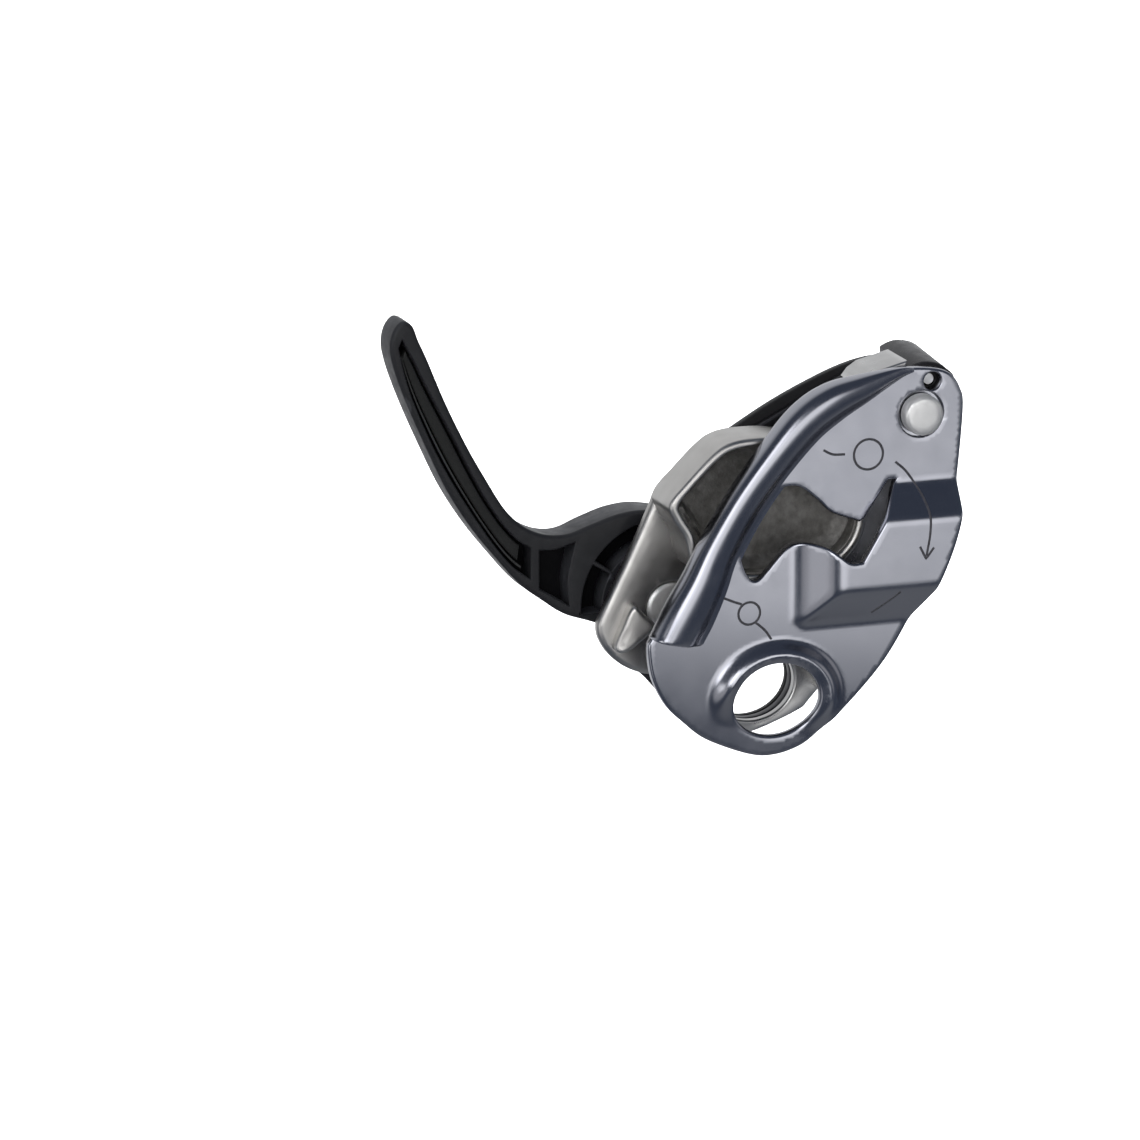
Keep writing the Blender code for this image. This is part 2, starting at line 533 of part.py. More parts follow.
def rear_cover():
    """The moulded cover: a thin skirt round the eye, a deep box, and a lobe behind the hub."""
    skirt_edge = COVER_OUTLINE + [polar(LEVER_PIVOT, HUB_CLEARANCE, a) + (1,) for a in (-60, -45, -30, -15)]
    skirt_edge += [polar(LEVER_PIVOT, HUB_CLEARANCE, a) + (1,) for a in (0, 15, 30, 45, 60)] + COVER_TOP_LEFT
    cover = slab("rear_cover", skirt_edge, COVER_FRONT, THIN_BACK)
    box_edge = [
        (30.4, 60.4), (34.2, 57.0), (35.0, 50.0), (34.8, 42.0), (33.6, 33.6), (30.8, 25.6), (24.8, 15.6),
        (19.0, 11.6, 1), (6.0, 11.2, 1), (-1.5, 11.0, 1),
    ] + [polar(LEVER_PIVOT, HUB_CLEARANCE, a) + (1,) for a in (-5, 5, 15, 25, 35, 45, 55, 62)] + [
        (-3.6, 48.4, 1), (5.0, 53.8), (14.0, 58.2), (22.0, 60.8),
    ]
    box = slab("cover_box", box_edge, COVER_FRONT + 0.5, COVER_BACK)
    lobe_edge = arc(LEVER_PIVOT, 11.6, 80, 280, 20) + [(8.0, 13.4), (8.0, 34.0)]
    lobe = slab("cover_lobe", lobe_edge, LOBE_FRONT, LOBE_BACK, False)
    cut(box, wedge("cover_slope", 0.0))
    add(cover, box, lobe)
    cavity_edge = [
        (28.8, 58.0), (32.2, 54.8), (32.8, 49.0), (32.6, 42.0), (31.4, 34.4), (28.8, 27.0), (23.4, 17.8),
        (18.0, 13.6, 1), (7.2, 13.4, 1),
    ] + [polar(LEVER_PIVOT, HUB_CLEARANCE + 2.2, a) + (1,) for a in (0, 10, 20, 30, 40, 50, 60)] + [
        (-1.6, 47.0, 1), (6.0, 51.8), (14.6, 56.0), (22.4, 58.4),
    ]
    cavity = slab("cover_cavity", cavity_edge, COVER_FRONT - 1, COVER_BACK - 2.0)
    cut(cavity, wedge("cover_inner_slope", COVER_WALL))
    eye = slab("cover_eye", ellipse(EYE_WIDTH, EYE_HEIGHT), 10, 25, False)
    axle = disc("cover_axle_bore", LEVER_PIVOT, AXLE_SHANK + GAP, 25, 35)
    rivet = disc("cover_rivet_bore", MAIN_PIVOT, RIVET_SHANK + GAP, 15, 35)
    rivet_seat = disc("cover_rivet_seat", MAIN_PIVOT, 5.0, THIN_BACK, 40)
    cut(cover, cavity, eye, axle, rivet, rivet_seat)
    for i, spot in enumerate(COVER_SCREWS):
        post = disc(f"cover_post_{i}", spot, 3.4, COVER_FRONT + 0.1, cover_back_at(spot[1]) - COVER_WALL / 2, 20)
        add(cover, post)
        cut(cover, disc(f"cover_screw_bore_{i}", spot, 1.4, 15, 40, 16))
        cut(cover, disc(f"cover_screw_seat_{i}", spot, 2.7, 22.0, 40, 20))
    return finish(cover, "nylon")


def cover_back_at(z):
    """How deep the cover reaches at a height: it slopes down towards the top."""
    return COVER_BACK - max(0.0, z - SLOPE_START) * SLOPE_RATE


def wedge(name, inset):
    """The space behind the cover's slope, as a prism along X, moved in by the wall."""
    top = 90.0
    foot = SLOPE_START - inset / 2
    side = [(foot, COVER_BACK - inset), (top, COVER_BACK - inset - (top - foot) * SLOPE_RATE), (top, 60.0), (foot, 60.0)]
    shape = bmesh.new()
    ends = []
    for x in (-40.0, 60.0):
        ends.append([shape.verts.new((x * MM, y * MM, z * MM)) for z, y in side])
    shape.faces.new(ends[0])
    shape.faces.new(ends[1])
    for i, _ in enumerate(side):
        j = (i + 1) % len(side)
        shape.faces.new((ends[0][i], ends[0][j], ends[1][j], ends[1][i]))
    bmesh.ops.recalc_face_normals(shape, faces=shape.faces)
    mesh = bpy.data.meshes.new(name)
    shape.to_mesh(mesh)
    shape.free()
    return new_object(name, mesh, CUTTERS)


def cover_screw(index, spot):
    """A pan-head screw that holds the cover to the frame plate."""
    profile = [
        (0, 16.5), (1.15, 16.5), (1.15, 22.3), (2.3, 22.3), (2.3, 23.6), (1.8, 24.0), (0.9, 24.0),
        (0.9, 23.2), (0, 23.2),
    ]
    return finish(turned(f"cover_screw_{index}", spot, profile, 20), "spring")


def build():
    """Make every piece."""
    plate_axis = joint_empty("plate_axis", MAIN_PIVOT)
    lever_axis = joint_empty("cam_axis", LEVER_PIVOT)
    handle_axis = joint_empty("handle_axis", LEVER_PIVOT)

    swinging_plate(plate_axis)
    frame_plate()
    liner_plate()
    for index, spot in enumerate(LINER_RIVETS, 1):
        liner_rivet(index, spot)
    rear_cover()
    for index, spot in enumerate(COVER_SCREWS, 1):
        cover_screw(index, spot)
    top_cap()
    stop_block()
    main_rivet()
    ring("rivet_spacer", MAIN_PIVOT, RIVET_SHANK + GAP, 4.2, 2.9, FRAME_FRONT - GAP, "stainless")
    ring("plate_washer", MAIN_PIVOT, RIVET_SHANK + GAP, 4.2, PLATE_BACK + 0.05, 2.75, "spring")
    pin("plate_stop_pin", PIN_HOLE, 1.1, 2.45, 13.0, "spring", sides=20)

    cam(lever_axis)
    lever_axle()
    ring("cam_bush", LEVER_PIVOT, AXLE_SHANK + 0.2, 4.1, 14.35, 15.9, "spring", lever_axis)
    pin("cam_drive_pin", polar(LEVER_PIVOT, DRIVE_RADIUS, 60), 1.5, 14.6, 21.2, "rivet", lever_axis)
    pin("cam_stop_pin", CAM_STOP, 1.4, 13.9, 18.2, "rivet")
    spring("cam_return_spring", LEVER_PIVOT, 6.4, 18.7, 2.0, 100, 3.0)

    handle(handle_axis)
    handle_insert(handle_axis)
    ring("handle_bush", LEVER_PIVOT, AXLE_SHANK + 0.2, 4.1, 19.2, 29.3, "stainless", handle_axis)
    spring("handle_spring", LEVER_PIVOT, 5.8, 25.7, 3.0, 20, 1.0)
    ring("axle_washer", LEVER_PIVOT, AXLE_SHANK + 0.2, 5.2, 18.45, 18.65, "spring")
    clip()


def clip():
    """The open retaining ring in the groove at the axle's rear end."""
    points = arc(LEVER_PIVOT, 4.9, 40, 320, 20) + arc(LEVER_PIVOT, 2.5, 320, 40, 16)
    return finish(slab("axle_clip", points, 31.85, 32.55, False), "spring")


build()
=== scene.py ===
import json
import math

import bmesh
import bpy
import numpy as np
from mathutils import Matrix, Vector
from mathutils.geometry import delaunay_2d_cdt

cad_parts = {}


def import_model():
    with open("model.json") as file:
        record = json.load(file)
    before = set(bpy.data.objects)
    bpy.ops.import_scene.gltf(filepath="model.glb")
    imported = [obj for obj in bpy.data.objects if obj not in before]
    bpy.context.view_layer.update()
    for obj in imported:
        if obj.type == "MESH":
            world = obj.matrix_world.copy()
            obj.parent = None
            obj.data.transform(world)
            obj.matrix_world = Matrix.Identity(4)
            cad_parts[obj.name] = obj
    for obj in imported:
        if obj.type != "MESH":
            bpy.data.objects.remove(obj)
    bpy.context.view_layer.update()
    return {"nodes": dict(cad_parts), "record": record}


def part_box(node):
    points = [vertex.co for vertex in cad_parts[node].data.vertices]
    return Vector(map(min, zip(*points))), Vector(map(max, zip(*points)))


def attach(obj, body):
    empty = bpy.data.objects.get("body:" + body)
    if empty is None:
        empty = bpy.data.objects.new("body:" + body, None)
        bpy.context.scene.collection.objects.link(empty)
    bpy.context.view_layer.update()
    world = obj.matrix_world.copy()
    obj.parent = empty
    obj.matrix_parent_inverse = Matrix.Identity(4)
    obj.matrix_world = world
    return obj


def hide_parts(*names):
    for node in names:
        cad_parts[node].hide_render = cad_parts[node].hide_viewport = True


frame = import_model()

MM = 0.001

# -------- places, from the frame
JOINTS = {joint["name"]: joint for joint in frame["record"]["behaviour"]["joints"]}


def hinge_centre(joint):
    """A hinge's centre as (x, z), in millimetres."""
    x, _, z = JOINTS[joint]["pos_m"]
    return (x / MM, z / MM)


def depths(node):
    """A node's nearest and furthest y, in millimetres."""
    low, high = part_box(node)
    return low[1] / MM, high[1] / MM


def middle(node):
    """The middle of a node as (x, z), in millimetres."""
    low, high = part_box(node)
    return ((low[0] + high[0]) / 2 / MM, (low[2] + high[2]) / 2 / MM)


MAIN = hinge_centre("side_plate_swing")
LEVER = hinge_centre("cam_pivot")
BRIDGE_FRONT, PLATE_BACK = depths("moving_side_plate")
CAM_BACK = depths("cam")[1]
FRAME_FRONT, FRAME_BACK = depths("fixed_side_plate")
LINER_BACK = depths("friction_plate")[1]
BLOCK_FRONT, BLOCK_BACK = depths("stop_block")
COVER_FRONT = depths("rear_cover")[0]
HANDLE_FRONT, HANDLE_BACK = depths("handle")
CAP_FRONT, CAP_BACK = depths("top_cap")
SIGHT = middle("plate_stop_pin")
SCREWS = [middle(f"cover_screw_{i}") for i in (1, 2, 3)]
EYE_WIDTH = 18.0
EYE_HEIGHT = 15.6
AXLE_BORE = 3.3


# -------- outlines
def polar(centre, radius, degrees):
    """A point at a radius and an anticlockwise angle from a centre."""
    angle = math.radians(degrees)
    return (centre[0] + radius * math.cos(angle), centre[1] + radius * math.sin(angle))


def arc(centre, radius, start, end, steps):
    """Points along an arc, both ends included."""
    return [polar(centre, radius, start + (end - start) * i / steps) for i in range(steps + 1)]


def ellipse(width, height, steps=80, centre=(0.0, 0.0)):
    """Points of an ellipse."""
    turns = [2 * math.pi * i / steps for i in range(steps)]
    return [(centre[0] + width / 2 * math.cos(t), centre[1] + height / 2 * math.sin(t)) for t in turns]


def circle(centre, radius, steps=64):
    """Points of a circle."""
    return ellipse(2 * radius, 2 * radius, steps, centre)


EYE = ellipse(EYE_WIDTH, EYE_HEIGHT, 96)


def catmull(points, t):
    """A point between the second and the third of four, on a smooth curve."""
    p0, p1, p2, p3 = [Vector(p) for p in points]
    square = 2 * p0 - 5 * p1 + 4 * p2 - p3
    cube = 3 * p1 - p0 - 3 * p2 + p3
    return 0.5 * (2 * p1 + (p2 - p0) * t + square * t * t + cube * t ** 3)


def smooth(points, spacing=0.7, closed=True, size=2):
    """Points along a smooth curve. A point with one value more than size is a sharp corner."""
    plain = [Vector(p[:size]) for p in points]
    sharp = [len(p) > size for p in points]
    count = len(plain)
    out = []
    for i in range(count if closed else count - 1):
        p1, p2 = plain[i], plain[(i + 1) % count]
        p0 = plain[i - 1] if closed or i > 0 else 2 * p1 - p2
        p3 = plain[(i + 2) % count] if closed or i + 2 < count else 2 * p2 - p1
        if sharp[i]:
            p0 = 2 * p1 - p2
        if sharp[(i + 1) % count]:
            p3 = 2 * p2 - p1
        steps = max(1, round((p2 - p1).length / spacing))
        out += [tuple(catmull((p0, p1, p2, p3), s / steps)) for s in range(steps)]
    if not closed:
        out.append(tuple(plain[-1]))
    return out


def wound(loop, anticlockwise=True):
    """The loop in the given direction."""
    area = sum(a[0] * b[1] - b[0] * a[1] for a, b in zip(loop, loop[1:] + loop[:1]))
    return loop if (area > 0) == anticlockwise else loop[::-1]


def offset(loop, distance):
    """Move an anticlockwise loop outwards; a negative distance moves it inwards."""
    out = []
    count = len(loop)
    for i, point in enumerate(loop):
        here = Vector(point)
        first = (here - Vector(loop[i - 1])).normalized()
        second = (Vector(loop[(i + 1) % count]) - here).normalized()
        normal = Vector((first.y + second.y, -(first.x + second.x)))
        if normal.length < 0.001:
            normal = Vector((first.y, -first.x))
        normal.normalize()
        reach = 1 / max(0.5, normal.dot(Vector((first.y, -first.x))))
        out.append(tuple(here + normal * distance * reach))
    return out


def inside(points, loop):
    """For each point, whether it is inside the loop."""
    spots = np.asarray(points, float)
    start = np.asarray(loop, float)
    end = np.roll(start, -1, axis=0)
    x, z = spots[:, 0:1], spots[:, 1:2]
    crosses = (start[:, 1] > z) != (end[:, 1] > z)
    run = np.where(end[:, 1] == start[:, 1], 1.0, end[:, 1] - start[:, 1])
    left = x < (end[:, 0] - start[:, 0]) * (z - start[:, 1]) / run + start[:, 0]
    return (crosses & left).sum(axis=1) % 2 == 1


def clearance(points, loop):
    """For each point, its distance to the loop's nearest corner or edge."""
    spots = np.asarray(points, float)[:, None, :]
    start = np.asarray(loop, float)[None]
    along = np.roll(start, -1, axis=1) - start
    length = np.maximum((along ** 2).sum(axis=2), 1e-9)
    share = np.clip(((spots - start) * along).sum(axis=2) / length, 0, 1)
    return np.sqrt((((spots - start) - share[..., None] * along) ** 2).sum(axis=2)).min(axis=1)


def rise(low, high, value, bend=0.16):
    """0 at low and 1 at high, straight between and rounded at both ends."""
    t = max(0.0, min(1.0, (value - low) / (high - low)))
    if t < bend:
        out = t * t / (2 * bend)
    elif t > 1 - bend:
        out = 1 - bend - (1 - t) ** 2 / (2 * bend)
    else:
        out = t - bend / 2
    return out / (1 - bend)


def ease(low, high, value):
    """A smooth rise from 0 at low to 1 at high."""
    t = max(0.0, min(1.0, (value - low) / (high - low)))
    return t * t * (3 - 2 * t)


def soft_least(a, b, blend=0.12):
    """The smaller of two numbers, with a rounded join."""
    h = max(0.0, min(1.0, 0.5 + (b - a) / (2 * blend)))
    return b * (1 - h) + a * h - blend * h * (1 - h)


# -------- mesh makers
# Seam gaps up to SEAM are closed, and so are holes with up to HOLE_SIDES sides
SEAM = 0.0004
HOLE_SIDES = 12
WIRE_SIDES = 8
# The rows of a triangle grid, as a share of its spacing
ROW_STEP = 0.87


def object_from(name, shape, sharp=38):
    """An object from a bmesh in millimetres, with closed seams and outward faces."""
    bmesh.ops.remove_doubles(shape, verts=shape.verts, dist=SEAM)
    bmesh.ops.holes_fill(shape, edges=shape.edges, sides=HOLE_SIDES)
    bmesh.ops.recalc_face_normals(shape, faces=shape.faces)
    mesh = bpy.data.meshes.new(name)
    bmesh.ops.scale(shape, vec=(MM, MM, MM), verts=shape.verts)
    shape.to_mesh(mesh)
    shape.free()
    mesh.shade_smooth()
    mesh.set_sharp_from_angle(angle=math.radians(sharp))
    made = bpy.data.objects.new(name, mesh)
    bpy.context.scene.collection.objects.link(made)
    return made


def as_surface(depth):
    """A depth as a function of (x, z)."""
    return depth if callable(depth) else lambda x, z: depth


def fill(shape, rims, surface, spacing):
    """Close a face between rims, following a surface. A rim is its loop of spots and its vertices."""
    flat = [spot for loop, _ in rims for spot in loop]
    ready = [vertex for _, ring in rims for vertex in ring]
    edges = []
    first = 0
    for loop, _ in rims:
        edges += [(first + i, first + (i + 1) % len(loop)) for i in range(len(loop))]
        first += len(loop)
    if spacing:
        outer = np.array(rims[0][0])
        low, high = outer.min(axis=0), outer.max(axis=0)
        rows = np.arange(low[1], high[1], spacing * ROW_STEP)
        columns = np.arange(low[0], high[0], spacing)
        grid = [(x + (spacing / 2 if i % 2 else 0), z) for i, z in enumerate(rows) for x in columns]
        keep = inside(grid, rims[0][0]) & (clearance(grid, rims[0][0]) > spacing / 2)
        for loop, _ in rims[1:]:
            keep &= ~inside(grid, loop) & (clearance(grid, loop) > spacing / 2)
        flat += [spot for spot, good in zip(grid, keep) if good]
    spots, _, faces, origin, _, _ = delaunay_2d_cdt([Vector(p) for p in flat], edges, [], 0, 0.00001)
    verts = []
    for spot, source in zip(spots, origin):
        if source and source[0] < len(ready):
            verts.append(ready[source[0]])
        else:
            verts.append(shape.verts.new((spot.x, surface(spot.x, spot.y), spot.y)))
    centres = [[sum(spots[i][k] for i in face) / 3 for k in (0, 1)] for face in faces]
    keep = inside(centres, rims[0][0])
    for loop, _ in rims[1:]:
        keep &= ~inside(centres, loop)
    for face, good in zip(faces, keep):
        corners = [verts[i] for i in face]
        if good and len(set(corners)) == 3 and not shape.faces.get(corners):
            shape.faces.new(corners)


def sheet(shape, outer, holes, front, back, rounds=(0.5, 0.5), spacing=None, steps=4):
    """Add a solid between two surfaces to a bmesh, with rounded edges.

    outer is a loop and holes are (loop, front rounding, back rounding).
    """
    front, back = as_surface(front), as_surface(back)
    loops = [(wound(outer), *rounds)] + [(wound(loop, False), near, far) for loop, near, far in holes]
    near_rims, far_rims = [], []
    for loop, near, far in loops:
        rows = []
        for radius, surface, sign in ((near, front, 1), (far, back, -1)):
            side = []
            for i in range(steps + 1 if radius else 1):
                angle = math.pi / 2 * i / steps
                ring = offset(loop, -radius * (1 - math.sin(angle))) if radius else loop
                rest = offset(loop, -radius) if radius else loop
                drop = radius * (1 - math.cos(angle))
                side.append([(x, surface(*spot) + sign * drop, z) for (x, z), spot in zip(ring, rest)])
            rows += side if sign > 0 else side[::-1]
        made = [[shape.verts.new(p) for p in row] for row in rows]
        count = len(loop)
        for upper, lower in zip(made, made[1:]):
            for i in range(count):
                j = (i + 1) % count
                shape.faces.new((upper[i], upper[j], lower[j], lower[i]))
        near_rims.append((offset(loop, -near) if near else loop, made[0]))
        far_rims.append((offset(loop, -far) if far else loop, made[-1]))
    fill(shape, near_rims, front, spacing)
    fill(shape, far_rims, back, spacing)


def slab(name, outer, holes, front, back, rounds, spacing=None):
    """One sheet as an object."""
    shape = bmesh.new()
    sheet(shape, outer, holes, front, back, rounds, spacing)
    return object_from(name, shape)


def turn(shape, centre, profile, steps=72):
    """Add a solid of revolution along Y, from (radius, y) points that start and end at radius 0."""
    rings = []
    for radius, y in profile:
        spots = circle(centre, radius, steps) if radius else [centre]
        rings.append([shape.verts.new((x, y, z)) for x, z in spots])
    for upper, lower in zip(rings, rings[1:]):
        for i in range(steps):
            j = (i + 1) % steps
            corners = [upper[i % len(upper)], upper[j % len(upper)]]
            corners += [lower[j % len(lower)], lower[i % len(lower)]]
            shape.faces.new(list(dict.fromkeys(corners)))


def turned(name, centre, profile, steps=72):
    """A solid of revolution as an object."""
    shape = bmesh.new()
    turn(shape, centre, profile, steps)
    return object_from(name, shape)


def sweep(shape, sections):
    """Add a solid through sections, which are loops with the same number of (x, y, z) points."""
    rings = [[shape.verts.new(p) for p in section] for section in sections]
    for near, far in zip(rings, rings[1:]):
        count = len(near)
        for i in range(count):
            j = (i + 1) % count
            shape.faces.new((near[i], near[j], far[j], far[i]))
    for ring in (rings[0], rings[-1]):
        bmesh.ops.triangulate(shape, faces=[shape.faces.new(ring)])


def wire(shape, path, width, height):
    """Add a thin oval wire along (x, y, z) points to a bmesh."""
    turns = [2 * math.pi * i / WIRE_SIDES for i in range(WIRE_SIDES)]
    sections = []
    for i, point in enumerate(path):
        here = Vector(point)
        along = Vector(path[min(i + 1, len(path) - 1)]) - Vector(path[max(i - 1, 0)])
        side = along.cross(Vector((0, 1, 0))).normalized()
        out = side.cross(along).normalized()
        sections.append([
            tuple(here + side * width * math.cos(t) + out * height * math.sin(t)) for t in turns
        ])
    sweep(shape, sections)


# -------- materials
NOISE_ROUGHNESS = 0.55


class Look:
    """A Principled material and short ways to add nodes to it. Sizes are in millimetres."""

    def __init__(self, name, colour, roughness, metallic):
        self.material = bpy.data.materials.new(name)
        self.material.use_nodes = True
        self.tree = self.material.node_tree
        self.shader = self.tree.nodes["Principled BSDF"]
        self.shader.inputs["Base Color"].default_value = (*colour, 1)
        self.shader.inputs["Roughness"].default_value = roughness
        self.shader.inputs["Metallic"].default_value = metallic
        self.position = self.tree.nodes.new("ShaderNodeTexCoord").outputs["Object"]

    def noise(self, size, detail):
        """Noise whose grains are about size millimetres wide."""
        mapping = self.tree.nodes.new("ShaderNodeMapping")
        mapping.inputs["Scale"].default_value = [1 / (size * MM)] * 3
        self.tree.links.new(self.position, mapping.inputs["Vector"])
        node = self.tree.nodes.new("ShaderNodeTexNoise")
        node.inputs["Scale"].default_value = 1.0
        node.inputs["Detail"].default_value = detail
        node.inputs["Roughness"].default_value = NOISE_ROUGHNESS
        self.tree.links.new(mapping.outputs["Vector"], node.inputs["Vector"])
        return node.outputs["Fac"]

    def edges(self, low=0.51, high=0.56):
        """1 on outer edges and 0 elsewhere: metal is tinted there as wear, and nylon gets a painted
        highlight there.
        """
        node = self.tree.nodes.new("ShaderNodeNewGeometry")
        return self.span(node.outputs["Pointiness"], 0.0, 1.0, low, high)

    def span(self, value, new_low, new_high, low=0.3, high=0.7):
        """A value from low to high, as one from new_low to new_high."""
        node = self.tree.nodes.new("ShaderNodeMapRange")
        sockets = {"From Min": low, "From Max": high, "To Min": new_low, "To Max": new_high}
        for socket, number in sockets.items():
            node.inputs[socket].default_value = number
        self.tree.links.new(value, node.inputs["Value"])
        return node.outputs["Result"]

    def tint(self, factor, colour):
        """Mix another base colour in where factor is high."""
        node = self.tree.nodes.new("ShaderNodeMix")
        node.data_type = "RGBA"
        base = self.shader.inputs["Base Color"]
        if base.is_linked:
            self.tree.links.new(base.links[0].from_socket, node.inputs[6])
        else:
            node.inputs[6].default_value = base.default_value[:]
        node.inputs[7].default_value = (*colour, 1)
        self.tree.links.new(factor, node.inputs[0])
        self.tree.links.new(node.outputs[2], base)

    def mottle(self, size, detail, share, colour):
        """Mix another base colour in with noise, up to a share of it."""
        self.tint(self.span(self.noise(size, detail), 0.0, share), colour)

    def rough(self, size, detail, low, high):
        """Let the roughness vary with noise."""
        value = self.span(self.noise(size, detail), low, high)
        self.tree.links.new(value, self.shader.inputs["Roughness"])

    def bump(self, size, detail, depth, strength):
        """Add noise as relief that is depth millimetres high."""
        node = self.tree.nodes.new("ShaderNodeBump")
        node.inputs["Strength"].default_value = strength
        node.inputs["Distance"].default_value = depth * MM
        self.tree.links.new(self.noise(size, detail), node.inputs["Height"])
        self.tree.links.new(node.outputs["Normal"], self.shader.inputs["Normal"])


def anodised_look():
    """Blasted and anodised light alloy, with faint rubbing on its edges."""
    look = Look("anodised_alloy", (0.345, 0.35, 0.385), 0.22, 1.0)
    look.mottle(16.0, 2, 0.3, (0.30, 0.31, 0.35))
    look.tint(look.edges(0.515, 0.60), (0.50, 0.51, 0.55))
    look.rough(7.0, 4, 0.19, 0.26)
    look.bump(0.3, 2, 0.002, 0.3)
    return look.material


def satin_steel_look(name, colour, roughness):
    """Tumbled stainless steel."""
    look = Look(name, colour, roughness, 1.0)
    look.mottle(9.0, 3, 0.4, tuple(c * 0.86 for c in colour))
    look.tint(look.edges(), tuple(min(1.0, c * 1.25) for c in colour))
    look.rough(3.0, 4, roughness - 0.05, roughness + 0.07)
    look.bump(2.4, 1, 0.010, 0.3)
    return look.material


def cast_pocket_look():
    """The dark as-cast skin inside the cam."""
    look = Look("as_cast_skin", (0.085, 0.082, 0.076), 0.55, 0.7)
    look.mottle(2.2, 5, 0.8, (0.16, 0.156, 0.15))
    look.rough(1.0, 3, 0.42, 0.66)
    look.bump(0.7, 5, 0.09, 0.9)
    return look.material


def turned_steel_look():
    """Bright satin metal for rivets, pins and the axle."""
    look = Look("turned_steel", (0.54, 0.54, 0.535), 0.33, 0.88)
    look.mottle(2.5, 4, 0.5, (0.45, 0.45, 0.45))
    look.rough(0.8, 4, 0.28, 0.44)
    look.bump(0.35, 4, 0.01, 0.5)
    return look.material


def zinc_look():
    """Zinc-plated small parts."""
    look = Look("zinc_plate", (0.50, 0.50, 0.50), 0.36, 1.0)
    look.mottle(1.6, 4, 0.6, (0.40, 0.41, 0.43))
    look.rough(0.9, 3, 0.28, 0.46)
    look.bump(0.3, 3, 0.008, 0.5)
    return look.material


def bronze_look():
    """Sintered bronze bushes."""
    look = Look("sintered_bronze", (0.45, 0.28, 0.13), 0.45, 1.0)
    look.mottle(0.8, 4, 0.6, (0.30, 0.18, 0.09))
    look.rough(0.5, 3, 0.36, 0.58)
    look.bump(0.2, 2, 0.01, 0.6)
    return look.material


def spring_look():
    """Drawn spring wire."""
    look = Look("spring_wire", (0.42, 0.42, 0.43), 0.30, 1.0)
    look.mottle(1.2, 3, 0.5, (0.30, 0.30, 0.31))
    look.rough(0.6, 3, 0.22, 0.40)
    look.bump(0.15, 2, 0.004, 0.5)
    return look.material


def dark_frame_look():
    """The dark oxide finish of the rear plate."""
    look = Look("dark_oxide", (0.085, 0.085, 0.09), 0.40, 1.0)
    look.mottle(4.0, 4, 0.6, (0.055, 0.055, 0.06))
    look.rough(1.4, 4, 0.32, 0.5)
    look.bump(0.4, 3, 0.01, 0.5)
    return look.material


def nylon_look(name, colour, roughness, shine):
    """Glass-filled nylon with a fine spark-eroded grain, and a painted highlight on its outer edges."""
    look = Look(name, colour, roughness, 0.0)
    look.shader.inputs["Specular IOR Level"].default_value = shine
    look.mottle(5.0, 4, 0.5, tuple(c * 0.7 for c in colour))
    # Painted highlight: the outer edges are tinted much lighter, standing in for light caught on the
    # rounded rims.
    look.tint(look.edges(0.515, 0.58), tuple(c * 2.2 for c in colour))
    look.rough(2.0, 4, roughness - 0.07, roughness + 0.08)
    look.bump(0.35, 3, 0.02, 0.55)
    return look.material


def mark_look():
    """The dark line of a laser mark."""
    look = Look("laser_mark", (0.012, 0.012, 0.015), 0.6, 0.2)
    look.mottle(0.6, 2, 0.5, (0.03, 0.03, 0.035))
    look.bump(0.2, 2, 0.005, 0.5)
    return look.material


ANODISED = anodised_look()
STAINLESS = satin_steel_look("stainless_steel", (0.44, 0.438, 0.432), 0.31)
CAM_STEEL = satin_steel_look("cam_steel", (0.47, 0.461, 0.444), 0.38)
CAST_SKIN = cast_pocket_look()
TURNED = turned_steel_look()
ZINC = zinc_look()
BRONZE = bronze_look()
SPRING = spring_look()
DARK_FRAME = dark_frame_look()
COVER_NYLON = nylon_look("cover_nylon", (0.0075, 0.0075, 0.0080), 0.42, 0.24)
CAP_NYLON = nylon_look("cap_nylon", (0.0045, 0.0045, 0.0050), 0.30, 0.20)
HANDLE_NYLON = nylon_look("handle_nylon", (0.0052, 0.0054, 0.0062), 0.36, 0.15)
PANEL_NYLON = nylon_look("panel_nylon", (0.0050, 0.0052, 0.0052), 0.42, 0.10)
# Painted shade: the pocket floors are the handle's nylon, made darker and duller where shade falls in
# the pockets.
SHADED_POCKET_NYLON = nylon_look("pocket_nylon_painted_shade", (0.0012, 0.0012, 0.0014), 0.6, 0.03)
MARK = mark_look()


def place(piece, body, slot_name, material, *nodes):
    """Give a new piece its material and its body, and hide the frame nodes that it replaces."""
    piece.data.materials.append(material)
    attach(piece, body)
    if nodes:
        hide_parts(*nodes)


# -------- the swinging plate
PLATE = [
    (33.3, 65.5), (36.8, 64.1), (38.9, 61.1), (39.6, 56.8), (38.4, 42.6), (37.0, 33.5), (33.8, 24.6),
    (28.4, 14.5), (22.6, 5.3), (14.2, -3.9), (10.6, -6.7), (6.2, -10.2), (0.6, -11.9), (-5.0, -11.4),
    (-14.2, -7.5), (-19.2, -3.5), (-23.1, 0.5), (-26.1, 6.3), (-27.2, 12.6), (-26.4, 15.0, 1),
    (-20.0, 18.0, 1), (-15.6, 25.0), (-12.4, 32.0), (-7.0, 41.0), (-0.4, 49.2), (6.4, 55.6),
    (12.4, 60.0), (18.0, 63.4), (22.0, 65.6), (27.4, 66.0),
]
WINDOW = [
    (-4.6, 24.9), (-7.8, 30.6), (-6.4, 36.8), (-1.5, 42.4), (4.0, 43.6), (8.6, 40.4), (11.6, 37.6),
    (17.6, 35.2, 1), (18.6, 35.9, 1), (23.6, 43.4, 1), (25.2, 43.4, 1), (20.4, 35.3, 1),
    (16.1, 28.2, 1), (13.4, 28.4), (8.6, 31.6), (2.6, 31.4),
]
